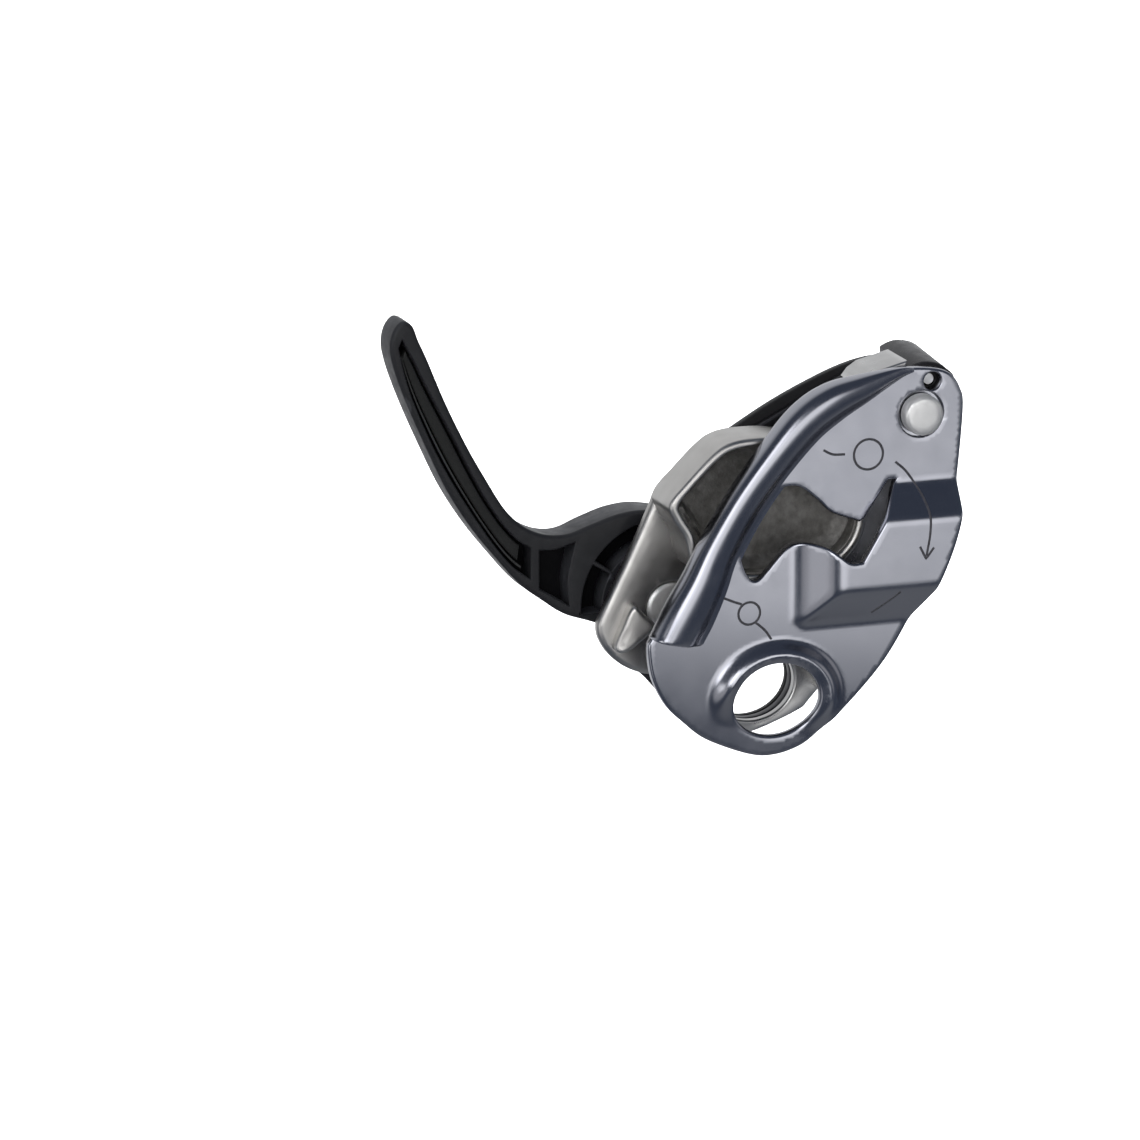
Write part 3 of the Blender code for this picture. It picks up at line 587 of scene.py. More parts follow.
# The rolled edge's crest: x, z, then its reach to the left and to the right, and its height
ROLL = [
    (-22.1, 13.7, 4.9, 4.6, 3.8), (-19.3, 19.2, 4.9, 4.5, 3.9), (-16.2, 25.2, 4.4, 4.2, 3.7),
    (-13.2, 32.0, 3.8, 3.8, 3.4), (-7.8, 41.0, 3.6, 3.6, 3.3), (-1.2, 49.2, 3.9, 3.4, 3.3),
    (5.6, 56.0, 4.6, 3.2, 3.3), (11.4, 59.6, 4.6, 2.8, 3.0), (17.6, 62.0, 3.5, 2.0, 2.2),
    (23.0, 64.2, 1.9, 1.3, 1.1), (26.4, 65.3, 0.9, 0.8, 0.35), (28.8, 65.6, 0.4, 0.4, 0.02),
]
# The direction that the roll's lower end is cut square to
ROLL_CUT = (0.225, 0.974)
# The pairs of fullness and step for the extra rings that round the roll's lower end
ROLL_END = ((0.35, 0.0), (0.72, 0.05), (0.92, 0.2), (1.0, 0.42))
ROLL_CUT_RINGS = 12
# The bridge's slopes: where each starts and where it reaches the top, then how round its bends are
BRIDGE_RISE = (43.2, 35.3)
BRIDGE_FALL = (13.9, 23.4)
BRIDGE_LEFT = (2.6, 12.8)
BRIDGE_MIDDLE = 29.0
RISE_BEND, FALL_BEND, LEFT_BEND = 0.24, 0.22, 0.34
BRIDGE_CORNER = 0.2
# The slit beside the bridge: a point on it, its slope, and the height where it starts
SLIT_POINT = (15.9, 28.2)
SLIT_SLOPE = 0.563
SLIT_START = 33.0
# The lip round the eye: how far out it ends, how far out its crest is, and its heights
LIP_END = 5.2
LIP_CREST = 1.9
LIP_HEIGHT = 2.4
LIP_INNER_DROP = 1.5
# The plate's lower end bends back, below this height
BOW_START = 22.0
BOW_LENGTH = 30.0
BOW_DEPTH = 1.45
RECESS_RADIUS = 4.7
RECESS_FLOOR = 1.1
MARK_WIDTH, MARK_HEIGHT = 0.27, 0.07


def slit(z):
    """The x of the slit beside the bridge at a height."""
    return SLIT_POINT[0] + (z - SLIT_POINT[1]) * SLIT_SLOPE


def bridge_lift(x, z):
    """How far the raised bridge stands in front of the plate."""
    if z > SLIT_START and x < slit(z):
        return 0.0
    if z > BRIDGE_MIDDLE:
        upright = rise(*BRIDGE_RISE, z, RISE_BEND)
    else:
        upright = rise(*BRIDGE_FALL, z, FALL_BEND)
    across = soft_least(upright, rise(*BRIDGE_LEFT, x, LEFT_BEND), BRIDGE_CORNER)
    return max(0.0, -BRIDGE_FRONT * across)


def collar_lift(x, z):
    """The raised lip round the upper side of the eye."""
    out = (math.hypot(x / (EYE_WIDTH / 2), z / (EYE_HEIGHT / 2)) - 1) * (EYE_WIDTH + EYE_HEIGHT) / 4
    if out > LIP_END:
        return 0.0
    if out > LIP_CREST:
        lip = LIP_HEIGHT * math.cos(math.pi / 2 * (out - LIP_CREST) / (LIP_END - LIP_CREST)) ** 2
    else:
        lip = LIP_HEIGHT - LIP_INNER_DROP * ((LIP_CREST - out) / LIP_CREST) ** 2
    return lip * ease(-7.0, 2.5, z + 0.2 * x)


def plate_lift(x, z):
    """How far the plate's front stands towards the viewer."""
    bow = max(0.0, (BOW_START - z - 0.2 * x) / BOW_LENGTH)
    return max(bridge_lift(x, z), collar_lift(x, z)) - BOW_DEPTH * bow * bow


def plate_front(x, z):
    """The y of the plate's front."""
    return -plate_lift(x, z)


def plate_back(x, z):
    """The y of the plate's back, which follows its front."""
    return PLATE_BACK - plate_lift(x, z)


def swinging_plate():
    """The pressed front plate, with its bridge, window, eye, rivet recess and sight hole."""
    shape = bmesh.new()
    holes = [
        (smooth(WINDOW, 0.55), 0.5, 0.5),
        (EYE, 0.8, 0.6),
        (circle(MAIN, RECESS_RADIUS), 0.35, 0.0),
        (circle(SIGHT, 1.85, 40), 0.3, 0.2),
    ]
    sheet(shape, smooth(PLATE, 0.6), holes, plate_front, plate_back, (0.6, 0.5), 0.75)
    rivet_hole = [(circle(MAIN, 3.2), 0.2, 0.2)]
    sheet(shape, circle(MAIN, RECESS_RADIUS + 0.3), rivet_hole, RECESS_FLOOR, PLATE_BACK, (0, 0))
    made = object_from("plate_sheet", shape, 45)
    place(made, "swinging_plate", "anodised", ANODISED, "moving_side_plate")


def bezier(p0, p1, p2, p3, steps):
    """Points along a cubic curve, without the last one."""
    out = []
    for i in range(steps):
        t = i / steps
        weights = ((1 - t) ** 3, 3 * t * (1 - t) ** 2, 3 * t * t * (1 - t), t ** 3)
        out.append(tuple(sum(w * p[k] for w, p in zip(weights, (p0, p1, p2, p3))) for k in (0, 1)))
    return out


def roll_section(left, right, height):
    """The rolled edge's section: its outer face, then its inner one.

    Both are lists of (reach to the right, reach forward).
    """
    foot = 0.9 + 0.12 * left
    fillet = 0.5 * right
    lip = (-left + 0.35, -foot - 0.5)
    flank = (-left * 0.9, height * 0.5)
    crest = (-0.34 * left, height)
    shoulder = (right * 0.86, height * 0.42)
    root = (right + fillet, -0.03)
    outer = bezier(lip, (-left - 0.12, -foot), (-left, height * 0.2), flank, 6)
    outer += bezier(flank, (-left * 0.78, height * 0.86), (-left * 0.56, height), crest, 8)
    outer += bezier(crest, (crest[0] + 0.42 * left, height), (right * 0.6, height * 0.86), shoulder, 12)
    outer += bezier(shoulder, (right, height * 0.16), (right + 0.25 * fillet, 0.02), root, 6)
    outer.append((right + fillet + 0.4, -0.2))
    wall = min(1.3, 0.45 * height + 0.25)
    inner = []
    for i, here in enumerate(outer):
        before, after = outer[max(i - 1, 0)], outer[min(i + 1, len(outer) - 1)]
        run = Vector((after[0] - before[0], after[1] - before[1])).normalized()
        inner.append((here[0] + run.y * wall, here[1] - run.x * wall))
    return outer, inner


def roll_ring(spot, along, section, fullness, step):
    """One ring of the rolled edge. fullness under 1 thins its wall, and step moves it along."""
    x, z, _, right, _ = spot
    outer, inner = section
    ring = []
    for near, far in zip(outer + inner[::-1], inner + outer[::-1]):
        reach = [(a + b) / 2 + (a - b) / 2 * fullness for a, b in zip(near, far)]
        y = -reach[1] - plate_lift(x + along.y * right, z - along.x * right)
        across = x + along.y * reach[0] + along.x * step
        ring.append((across, y, z - along.x * reach[0] + along.y * step))
    return ring


def rolled_edge():
    """The open roll along the plate's left edge, which the braking hand's rope runs over."""
    path = smooth(ROLL, 0.8, False, 5)
    rings = []
    for i, spot in enumerate(path):
        before, after = path[max(i - 1, 0)], path[min(i + 1, len(path) - 1)]
        along = Vector((after[0] - before[0], after[1] - before[1])).normalized()
        along = along.lerp(Vector(ROLL_CUT), 1 - ease(0, ROLL_CUT_RINGS, i)).normalized()
        section = roll_section(*spot[2:])
        for fullness, step in ROLL_END if i == 0 else ((1.0, 0.0),):
            rings.append(roll_ring(spot, along, section, fullness, step))
    shape = bmesh.new()
    sweep(shape, rings)
    place(object_from("plate_rolled_edge", shape, 50), "swinging_plate", "anodised", ANODISED)


MARK_LINES = {
    "mark_path_upper": [(9.6, 50.6), (11.6, 49.6), (14.2, 49.4)],
    "mark_path_right": [
        (25.0, 47.0), (27.2, 45.0), (29.2, 42.0), (30.3, 38.5), (30.4, 33.5), (29.6, 28.6),
    ],
    "mark_path_lower": [(24.2, 21.6), (22.2, 19.4), (19.4, 16.8)],
    "mark_path_left": [(-11.4, 22.0), (-9.4, 21.1), (-7.6, 20.4)],
    "mark_path_foot": [(-4.6, 16.4), (-2.6, 14.6), (-1.2, 12.6)],
}
MARK_RINGS = {"mark_ring_upper": ((19.2, 49.0), 3.1), "mark_ring_lower": ((-6.0, 18.4), 2.3)}


def marks():
    """Plain laser marks: the rope's path as lines, a ring at each end and an arrowhead."""
    lines = dict(MARK_LINES)
    lines["mark_arrow"] = [(28.2, 30.6), (29.5, 28.0, 1), (31.2, 30.2)]
    for name, (centre, radius) in MARK_RINGS.items():
        lines[name] = arc(centre, radius, 90, 450, 40)
    for name, points in lines.items():
        path = points if name in MARK_RINGS else smooth(points, 0.4, False)
        shape = bmesh.new()
        wire(shape, [(x, plate_front(x, z) + 0.01, z) for x, z in path], MARK_WIDTH, MARK_HEIGHT)
        place(object_from(name, shape), "swinging_plate", "anodised", MARK)


# -------- rivet, block and cap
RIVET_FRONT = -2.3
# The heights between which the cap's top starts to slope, and how far its front edge drops
CAP_SLOPE = (62.5, 66.5)
CAP_DROP = 1.4


def main_rivet():
    """The rivet that the plate swings on, with a flat-domed head."""
    back = depths("main_rivet")[1]
    front, seat = RIVET_FRONT, RECESS_FLOOR - 0.3
    profile = [
        (0, front), (2.2, front + 0.01), (3.2, front + 0.05), (3.7, front + 0.18), (3.98, front + 0.42),
        (4.1, front + 0.8), (4.12, front + 1.2), (4.1, seat - 0.1), (4.0, seat), (2.9, seat),
        (2.9, back - 1.2), (4.3, back - 1.2), (4.4, back - 1.1), (4.4, back - 0.5), (4.1, back - 0.2),
        (3.5, back), (0, back),
    ]
    place(turned("rivet_domed", MAIN, profile, 96), "root", "rivet", TURNED, "main_rivet")


def stop_block():
    """The bright block at the top edge."""
    outline = [
        (18.3, 62.3, 1), (19.6, 63.9, 1), (21.6, 65.2, 1), (28.4, 66.9, 1), (28.4, 63.6, 1),
        (24.2, 62.2, 1), (20.6, 60.8, 1),
    ]
    block = slab("block_bevelled", smooth(outline), [], BLOCK_FRONT, BLOCK_BACK, (0.45, 0.3))
    place(block, "root", "stainless", STAINLESS, "stop_block")


def top_cap():
    """The moulded corner between the plates. Its top slopes down towards the front."""
    outline = [
        (28.5, 66.5, 1), (30.0, 67.3), (32.4, 67.7), (35.7, 66.9), (37.8, 64.7), (39.0, 61.4),
        (39.2, 57.0), (38.2, 48.6, 1), (35.2, 49.4, 1), (30.0, 49.6), (25.6, 51.4), (23.4, 56.0),
        (24.6, 60.4), (28.9, 62.2, 1),
    ]
    holes = [(circle(MAIN, 4.6), 0.3, 0.3), (circle(SIGHT, 1.4, 32), 0.1, 0.1)]
    shape = bmesh.new()
    sheet(shape, smooth(outline), holes, CAP_FRONT, CAP_BACK - 0.6, (0.8, 1.6), steps=6)
    for vertex in shape.verts:
        x, y, z = vertex.co
        lean = ease(*CAP_SLOPE, z) * (CAP_BACK - y) / (CAP_BACK - CAP_FRONT)
        vertex.co = (x, y, z - CAP_DROP * lean)
    place(object_from("cap_moulded", shape), "root", "nylon_cap", CAP_NYLON, "top_cap")


# -------- the cam
DRUM = [
    (-17.3, 29.5), (-18.5, 34.0), (-20.9, 38.0), (-21.8, 41.4), (-18.2, 45.6), (-12.4, 51.1),
    (-8.8, 53.0), (-4.0, 53.5), (3.0, 53.0), (11.0, 50.4), (17.0, 45.4), (20.0, 38.5), (19.0, 31.0),
    (14.0, 25.7), (7.0, 23.7), (-2.0, 23.5), (-10.0, 24.4), (-15.2, 26.4),
]
POCKET = [
    (-15.4, 30.2), (-16.8, 34.8), (-19.4, 39.2), (-19.8, 41.2), (-16.8, 44.7), (-11.6, 49.6),
    (-8.3, 51.3), (-4.0, 51.7), (2.6, 51.2), (10.0, 48.8), (15.4, 44.4), (18.1, 38.2), (17.2, 31.9),
    (13.0, 27.5), (6.6, 25.6), (-1.8, 25.4), (-9.4, 26.2), (-13.8, 27.6),
]
LOBE_RADIUS = 13.4
WEB_FRONT = 13.3
DRUM_FRONT = 2.6
DRUM_BACK = 13.6
POCKET_FLOOR = 8.4
# The middle of the lug and how far it stands up
LUG_MIDDLE = (-27.9, 14.5)
LUG_HEIGHT = 2.9
# The depths of the groove for the axle's clip
CLIP_GROOVE = (31.8, 32.6)
# The middle of the step across the pocket's left end
STEP_MIDDLE = (-14.8, 36.7)
WEB = arc(LEVER, LOBE_RADIUS, 42, -80, 28) + [
    (-21.8, 3.7), (-26.7, 5.4), (-30.3, 8.2), (-32.5, 11.4), (-33.2, 14.2), (-32.3, 17.2),
    (-26.9, 28.0), (-22.2, 38.0), (-20.0, 42.6), (-14.2, 47.4), (-8.0, 49.4), (-2.0, 44.0),
]
LUG = [
    (-30.3, 10.6), (-28.7, 15.0), (-27.3, 18.2), (-26.0, 19.0), (-24.2, 17.0), (-22.0, 14.6),
    (-24.6, 12.0), (-28.4, 9.5),
]


def cam_body():
    """The cam's bright metal: the drum's wall, the web with its lobe, and the lug."""
    shape = bmesh.new()
    sheet(shape, smooth(DRUM), [(smooth(POCKET), 0.7, 0.0)], DRUM_FRONT, DRUM_BACK, (0.9, 0.3))
    head_recess = [(circle(LEVER, 5.6), 0.4, 0.0)]
    sheet(shape, smooth(WEB), head_recess, WEB_FRONT, CAM_BACK, (1.3, 0.4), 1.6, 6)
    bush_hole = [(circle(LEVER, 4.3), 0.2, 0.3)]
    sheet(shape, circle(LEVER, 6.0), bush_hole, WEB_FRONT + 1.0, CAM_BACK, (0, 0))
    sheet(shape, smooth(LUG, 0.5), [], lug_front, WEB_FRONT + 0.6, (0.9, 0.0), 0.6, 6)
    place(object_from("cam_metal", shape), "cam_unit", "cast_steel", CAM_STEEL, "cam")


def lug_front(x, z):
    """The lug's face: it leans to the left, and more so along its left edge."""
    across = (x - LUG_MIDDLE[0]) * 0.957 - (z - LUG_MIDDLE[1]) * 0.29
    return WEB_FRONT - LUG_HEIGHT - 0.17 * across + 0.75 * max(0.0, -across)


def cam_pocket():
    """The dark cast skin inside the drum, dished, with a step across its left end."""
    edge = wound(smooth(POCKET))

    def dished(x, z):
        near = clearance([(x, z)], edge)[0]
        across = (x - STEP_MIDDLE[0]) * 0.8 + (z - STEP_MIDDLE[1]) * 0.6
        step = ease(-0.4, 0.4, across) - 0.9 * math.exp(-(across + 0.9) ** 2 / 0.12)
        return POCKET_FLOOR - 1.5 * (1 - ease(0.0, 3.0, near)) - 0.8 + step

    shape = bmesh.new()
    inner = [(offset(edge, -0.25), 0.2, 0.0)]
    sheet(shape, offset(edge, 0.4), inner, DRUM_FRONT + 1.0, POCKET_FLOOR, (0, 0))
    sheet(shape, offset(edge, 0.3), [], dished, DRUM_BACK - 0.6, (0, 0), 0.6)
    place(object_from("cam_cast_skin", shape), "cam_unit", "cast_steel", CAST_SKIN, "cam")


def axle():
    """The axle's head in the cam, its shank and the groove for its clip."""
    front, back = depths("cam_axle")
    groove_front, groove_back = CLIP_GROOVE
    profile = [
        (0, front + 0.25), (1.2, front + 0.25), (1.5, front), (4.2, front), (4.9, front + 0.2),
        (5.2, front + 0.5), (5.2, front + 0.8), (3.0, front + 0.8), (3.0, groove_front),
        (2.2, groove_front), (2.2, groove_back), (3.0, groove_back), (2.9, back - 0.3), (2.5, back),
        (1.0, back), (0.8, back - 0.3), (0, back - 0.5),
    ]
    place(turned("axle_turned", LEVER, profile), "root", "rivet", TURNED, "cam_axle")


# -------- the handle
HANDLE = [
    (-72.2, 79.1), (-69.9, 78.0), (-68.5, 74.6), (-66.8, 70.9), (-63.0, 61.8), (-58.7, 52.9),
    (-54.8, 45.9), (-50.7, 39.2), (-47.4, 35.8), (-44.2, 33.9), (-41.0, 33.0), (-37.1, 33.0),
    (-32.7, 34.4), (-26.4, 36.2), (-20.2, 36.4), (-12.4, 34.0), (-6.2, 27.4), (-4.2, 18.6),
    (-6.2, 10.2), (-12.0, 5.0), (-18.4, 3.8), (-24.6, 6.0), (-29.8, 12.6), (-38.1, 16.0), (-43.0, 19.3),
    (-47.8, 23.1), (-52.7, 28.7), (-58.1, 35.6), (-63.0, 43.4), (-67.3, 52.4), (-71.2, 61.3),
    (-73.9, 68.6), (-74.9, 73.4), (-74.2, 77.0),
]
# The long pocket: x and z on its upper side, then x and z on its lower side
FINGER = [
    (-72.3, 75.2, -73.0, 73.6), (-69.8, 70.6, -71.5, 67.2), (-67.0, 64.8, -69.2, 60.6),
    (-61.9, 54.9, -64.7, 50.6), (-56.6, 44.4, -59.7, 41.8), (-52.2, 37.2, -53.9, 32.9),
    (-48.4, 32.6, -49.5, 27.4), (-45.5, 30.6, -45.5, 24.2),
]
NECK = [
    (-43.6, 29.9, 1), (-40.0, 29.9), (-36.0, 31.0, 1), (-37.0, 27.0), (-37.7, 23.0), (-37.3, 18.0, 1),
    (-43.6, 21.9, 1),
]
# Where the frame with the pockets meets the closed back
HANDLE_MIDDLE = 24.4
ARM_BACK = HANDLE_BACK - 1.9
HUB_BORE = 11.5
HUB_WALL = 12.9
HUB_RIM = 17.1
# The radii between which the back falls from the hub to the arm
HUB_SLOPE = (19.0, 27.0)
# The strips in the long pocket: where each starts and ends across it, and how much is cut off its ends
RIB = (0.78, 0.86, 3)
PANEL = (0.12, 0.68, 4)


def finger_outline(low, high, trim):
    """A strip of the long pocket, from low to high across it. trim points are cut off at both ends."""
    path = smooth(FINGER, 1.0, False, 4)
    path = path[trim:len(path) - trim]
    upper = [((1 - low) * p[0] + low * p[2], (1 - low) * p[1] + low * p[3]) for p in path]
    lower = [((1 - high) * p[0] + high * p[2], (1 - high) * p[1] + high * p[3]) for p in path]
    return upper + lower[::-1]


def hub_pocket(start, end):
    """A pocket between the hub's wall and the arc rim round it."""
    return arc(LEVER, HUB_RIM, start, end, 16) + arc(LEVER, HUB_WALL, end, start, 12)


def handle_back(x, z):
    """The handle's back: the hub is deeper than the arm."""
    hub = 1 - ease(*HUB_SLOPE, math.dist((x, z), LEVER))
    return ARM_BACK + (HANDLE_BACK - 0.1 - ARM_BACK) * hub


def handle_pockets():
    """The outlines of the pockets in the handle's front."""
    return [finger_outline(0, 1, 0), smooth(NECK, 0.5), hub_pocket(92, 146), hub_pocket(149, 184)]


def handle():
    """The release handle: a deep frame with pockets, on a closed back."""
    edge = offset(wound(smooth(HANDLE)), -0.2)
    shape = bmesh.new()
    holes = [(wound(pocket), 0.3, 0.0) for pocket in handle_pockets()]
    holes.append((circle(LEVER, HUB_BORE), 0.15, 0.0))
    sheet(shape, edge, holes, HANDLE_FRONT + 0.1, HANDLE_MIDDLE, (0.9, 0.0), steps=6)
    bush_hole = [(circle(LEVER, 7.2), 0.0, 0.5)]
    sheet(shape, edge, bush_hole, HANDLE_MIDDLE, handle_back, (0.0, 2.4), 1.5, 6)
    place(object_from("handle_frame", shape), "lever", "nylon_handle", HANDLE_NYLON, "handle")


def handle_floors():
    """The handle's pocket floors, coloured darker as painted shade, with a raised panel in the long one.
    """
    shape = bmesh.new()
    sheet(shape, wound(finger_outline(*PANEL)), [], HANDLE_FRONT + 1.3, HANDLE_MIDDLE, (0.3, 0.0))
    sheet(shape, wound(finger_outline(*RIB)), [], HANDLE_FRONT + 0.8, HANDLE_MIDDLE, (0.0, 0.0))
    place(object_from("handle_finger_panel", shape), "lever", "nylon_handle", PANEL_NYLON)
    # Painted shade: a thin dark sheet on each pocket's floor, standing in for the shade in the pockets.
    shape = bmesh.new()
    for pocket in handle_pockets():
        outline = offset(wound(pocket), 0.1)
        sheet(shape, outline, [], HANDLE_MIDDLE - 0.5, HANDLE_MIDDLE + 0.3, (0.0, 0.0))
    place(object_from("handle_pocket_floor_painted_shade", shape), "lever", "nylon_handle", SHADED_POCKET_NYLON)


# -------- the rear plates
FRAME_EDGE = [
    (33.0, 63.6), (36.6, 61.6), (37.6, 57.0), (36.6, 42.0), (35.4, 33.0), (32.6, 24.5), (26.8, 14.0),
    (21.4, 5.6), (12.8, -4.4), (9.6, -6.9), (0.0, -10.4), (-4.5, -10.0), (-13.0, -5.8), (-18.0, -2.0),
    (-22.0, 2.4), (-26.0, 6.4), (-28.4, 11.0), (-28.2, 17.5), (-25.2, 25.0), (-20.8, 33.0),
    (-17.6, 39.6), (-11.0, 45.4), (-4.0, 49.6), (6.0, 54.6), (14.0, 58.6), (21.0, 62.0), (27.0, 64.0),
]
# The radii round the axle that the liner's edge follows, past the lobe and further out
LINER_NEAR = 14.2
LINER_FAR = 27.5
LINER_EDGE = [
    (36.2, 50.0, 1), (36.3, 42.0), (35.2, 33.0), (32.4, 24.5), (26.6, 14.0), (21.2, 5.8), (12.6, -4.2),
    (9.5, -6.7), (0.0, -10.1), (-4.5, -9.7), (-13.6, -5.2), (-17.6, -2.0, 1), (-17.6, 3.0, 1),
    *[polar(LEVER, LINER_NEAR, a) for a in range(-75, 0, 15)],
    (-3.4, 17.2, 1), (9.9, 17.2, 1),
    *[polar(LEVER, LINER_FAR, a) for a in (8, 16, 24)],
    (10.0, 30.0, 1), (15.5, 36.0, 1), (14.0, 43.0), (8.0, 51.0, 1), (14.0, 57.6, 1), (20.4, 60.6, 1),
    (23.8, 50.6, 1),
]
WALL = [
    (35.9, 46.0, 1), (36.0, 40.0), (35.0, 33.0), (32.2, 24.6), (26.4, 14.2), (20.6, 5.2),
    (14.0, -2.2, 1), (12.6, -1.0, 1), (18.9, 6.4), (24.6, 15.2), (30.2, 25.4), (32.9, 33.4),
    (33.9, 40.0), (33.8, 46.0, 1),
]


def frame_plate():
    """The dark load-bearing plate, with the eye, the axle's hole and the drive pin's slot."""
    slot = arc(LEVER, 11.2, 29, 76, 20) + arc(LEVER, 6.8, 76, 29, 16)
    holes = [(EYE, 0.5, 0.4), (circle(LEVER, AXLE_BORE, 40), 0.2, 0.2), (slot, 0.2, 0.2)]
    edge = smooth(FRAME_EDGE)
    plate = slab("frame_plate_sheet", edge, holes, FRAME_FRONT, FRAME_BACK, (0.45, 0.45), 1.6)
    place(plate, "root", "frame_plate", DARK_FRAME, "fixed_side_plate")


def friction_plate():
    """The stainless liner and wall that the rope rubs on."""
    shape = bmesh.new()
    liner_front = depths("friction_plate_rivet_1")[0] + 0.2
    eye = [(EYE, 0.5, 0.3)]
    sheet(shape, smooth(LINER_EDGE), eye, liner_front, LINER_BACK, (0.35, 0.3), 1.6)
    wall_front = depths("friction_plate")[0] + 0.4
    sheet(shape, smooth(WALL), [], wall_front, LINER_BACK - 0.8, (0.6, 0.2))
    place(object_from("friction_plate_sheet", shape), "root", "stainless", STAINLESS, "friction_plate")


# -------- the rear cover
HUB_CLEARANCE = 21.4
SKIRT_BACK = 20.5
SLOPE_START = 34.0
SLOPE_RATE = 0.37
SLOPE_BLEND = 6.0
COVER_FLAT = COVER_FRONT + 13.3
# The lobe over the axle's end: its radius and its depths
COVER_LOBE = 11.6
COVER_LOBE_DEPTHS = (29.9, 31.4)
RIVET_SEAT = 5.0
WELL_RADIUS = 2.7
WELL_FLOOR = 22.0
# The grip grooves: their count, the top one's height, and the distance from one to the next
GROOVES = 4
GROOVE_TOP = 41.0
GROOVE_PITCH = 4.4
GROOVE_HALF_WIDTH = 0.9
SCREW_HEAD_HEIGHT = 1.7


def cover_back(x, z):
    """The cover's back, which slopes down towards the rivet end."""
    past = z - SLOPE_START
    if past < -SLOPE_BLEND / 2:
        drop = 0.0
    elif past < SLOPE_BLEND / 2:
        drop = SLOPE_RATE * (past + SLOPE_BLEND / 2) ** 2 / (2 * SLOPE_BLEND)
    else:
        drop = SLOPE_RATE * past
    return COVER_FLAT - drop


def rear_cover():
    """The moulded cover: a thin skirt, a deep rounded box, and the lobe over the axle's end.

    The box has screw wells and grip grooves.
    """
    turns = [math.radians(a) for a in range(193, 441, 6)]
    around_eye = [(EYE_WIDTH / 2 * math.cos(t), EYE_HEIGHT / 2 * math.sin(t)) for t in turns]
    around_eye = [(*around_eye[0], 1), *around_eye[1:-1], (*around_eye[-1], 1)]
    skirt = [
        (32.6, 64.2), (37.0, 61.8), (37.7, 57.0), (36.7, 42.0), (35.6, 33.0), (33.0, 24.5),
        (27.2, 14.0), (21.8, 5.4), (13.2, -4.8), (9.8, -7.3), (4.6, -10.1), (0.0, -10.9), (-4.2, -10.4),
        (-7.2, -8.6), (-8.8, -5.8), (-9.2, -3.2, 1),
        *around_eye,
        *[polar(LEVER, HUB_CLEARANCE, a) for a in range(-24, 61, 12)],
        (-5.2, 50.6, 1), (5.0, 56.4), (14.0, 60.6), (21.0, 63.2), (27.0, 64.4),
    ]
    box = [
        (30.4, 60.4), (34.2, 57.0), (35.0, 50.0), (34.8, 42.0), (33.6, 33.6), (30.8, 25.6),
        (24.8, 15.6), (19.0, 11.6), (10.0, 11.2),
        *arc((6.6, 14.2), 3.0, 270, 173, 4),
        *[polar(LEVER, HUB_CLEARANCE, a) for a in range(0, 60, 10)],
        *arc((-2.2, 45.5), 3.2, 176, 122, 3),
        (5.0, 53.8), (14.0, 58.2), (22.0, 60.8),
    ]
    shape = bmesh.new()
    seat = circle(MAIN, RIVET_SEAT, 48)
    sheet(shape, smooth(skirt), [(seat, 0.0, 0.3)], COVER_FRONT, SKIRT_BACK, (0.3, 0.6), 1.6)
    holes = [(circle(spot, WELL_RADIUS, 40), 0.0, 0.4) for spot in SCREWS]
    holes += [(groove(i), 0.0, 0.35) for i in range(GROOVES)]
    holes.append((seat, 0.0, 0.5))
    edge = offset(wound(smooth(box)), -0.1)
    sheet(shape, edge, holes, SKIRT_BACK - 0.6, cover_back, (0.0, 2.2), 1.4, 6)
    for spot in SCREWS:
        shank_hole = [(circle(spot, 1.4, 32), 0.1, 0.1)]
        post = circle(spot, WELL_RADIUS + 0.3, 40)
        sheet(shape, post, shank_hole, SKIRT_BACK - 0.5, WELL_FLOOR, (0, 0))
    for i in range(GROOVES):
        sheet(shape, offset(wound(groove(i)), 0.2), [], SKIRT_BACK, groove_floor, (0, 0), 1.4)
    lobe = arc(LEVER, COVER_LOBE, 80, 280, 40)
    lobe += [(-8.0, 9.4), (0.0, 11.6), (7.6, 13.6), (8.6, 22.0), (4.0, 31.0), (-6.0, 31.4)]
    axle_hole = [(circle(LEVER, AXLE_BORE, 40), 0.1, 0.2)]
    sheet(shape, smooth(lobe), axle_hole, *COVER_LOBE_DEPTHS, (0.3, 0.6), 1.4)
    place(object_from("cover_moulded", shape), "root", "nylon_cover", COVER_NYLON, "rear_cover")


def groove(index):
    """The outline of one of the grooves across the cover's back, for the fingers."""
    z = GROOVE_TOP - GROOVE_PITCH * index
    right_end = arc((23.0, z), GROOVE_HALF_WIDTH, -90, 90, 10)
    return right_end + arc((10.5 - 0.6 * index, z), GROOVE_HALF_WIDTH, 90, 270, 10)


def groove_floor(x, z):
    """The floor of the grooves, which follows the cover's back."""
    return cover_back(x, z) - 1.0


def cover_screw(index):
    """A pan-head screw with a hexagon socket."""
    spot = SCREWS[index]
    front, back = depths(f"cover_screw_{index + 1}")
    head = back - SCREW_HEAD_HEIGHT
    profile = [(0, front), (1.0, front), (1.15, front + 0.3), (1.15, head), (2.2, head)]
    shape = bmesh.new()
    turn(shape, spot, profile + [(2.3, head + 0.1), (0, head + 0.1)], 40)
    socket = wound([polar(spot, 1.05, 60 * i + 15) for i in range(6)])
    sheet(shape, circle(spot, 2.3, 40), [(socket, 0.0, 0.1)], head, back, (0.05, 0.45))
    sheet(shape, circle(spot, 1.3, 24), [], head + 0.1, head + 0.5, (0, 0))
    made = object_from(f"screw_socket_{index + 1}", shape)
    place(made, "root", "zinc", ZINC, f"cover_screw_{index + 1}")


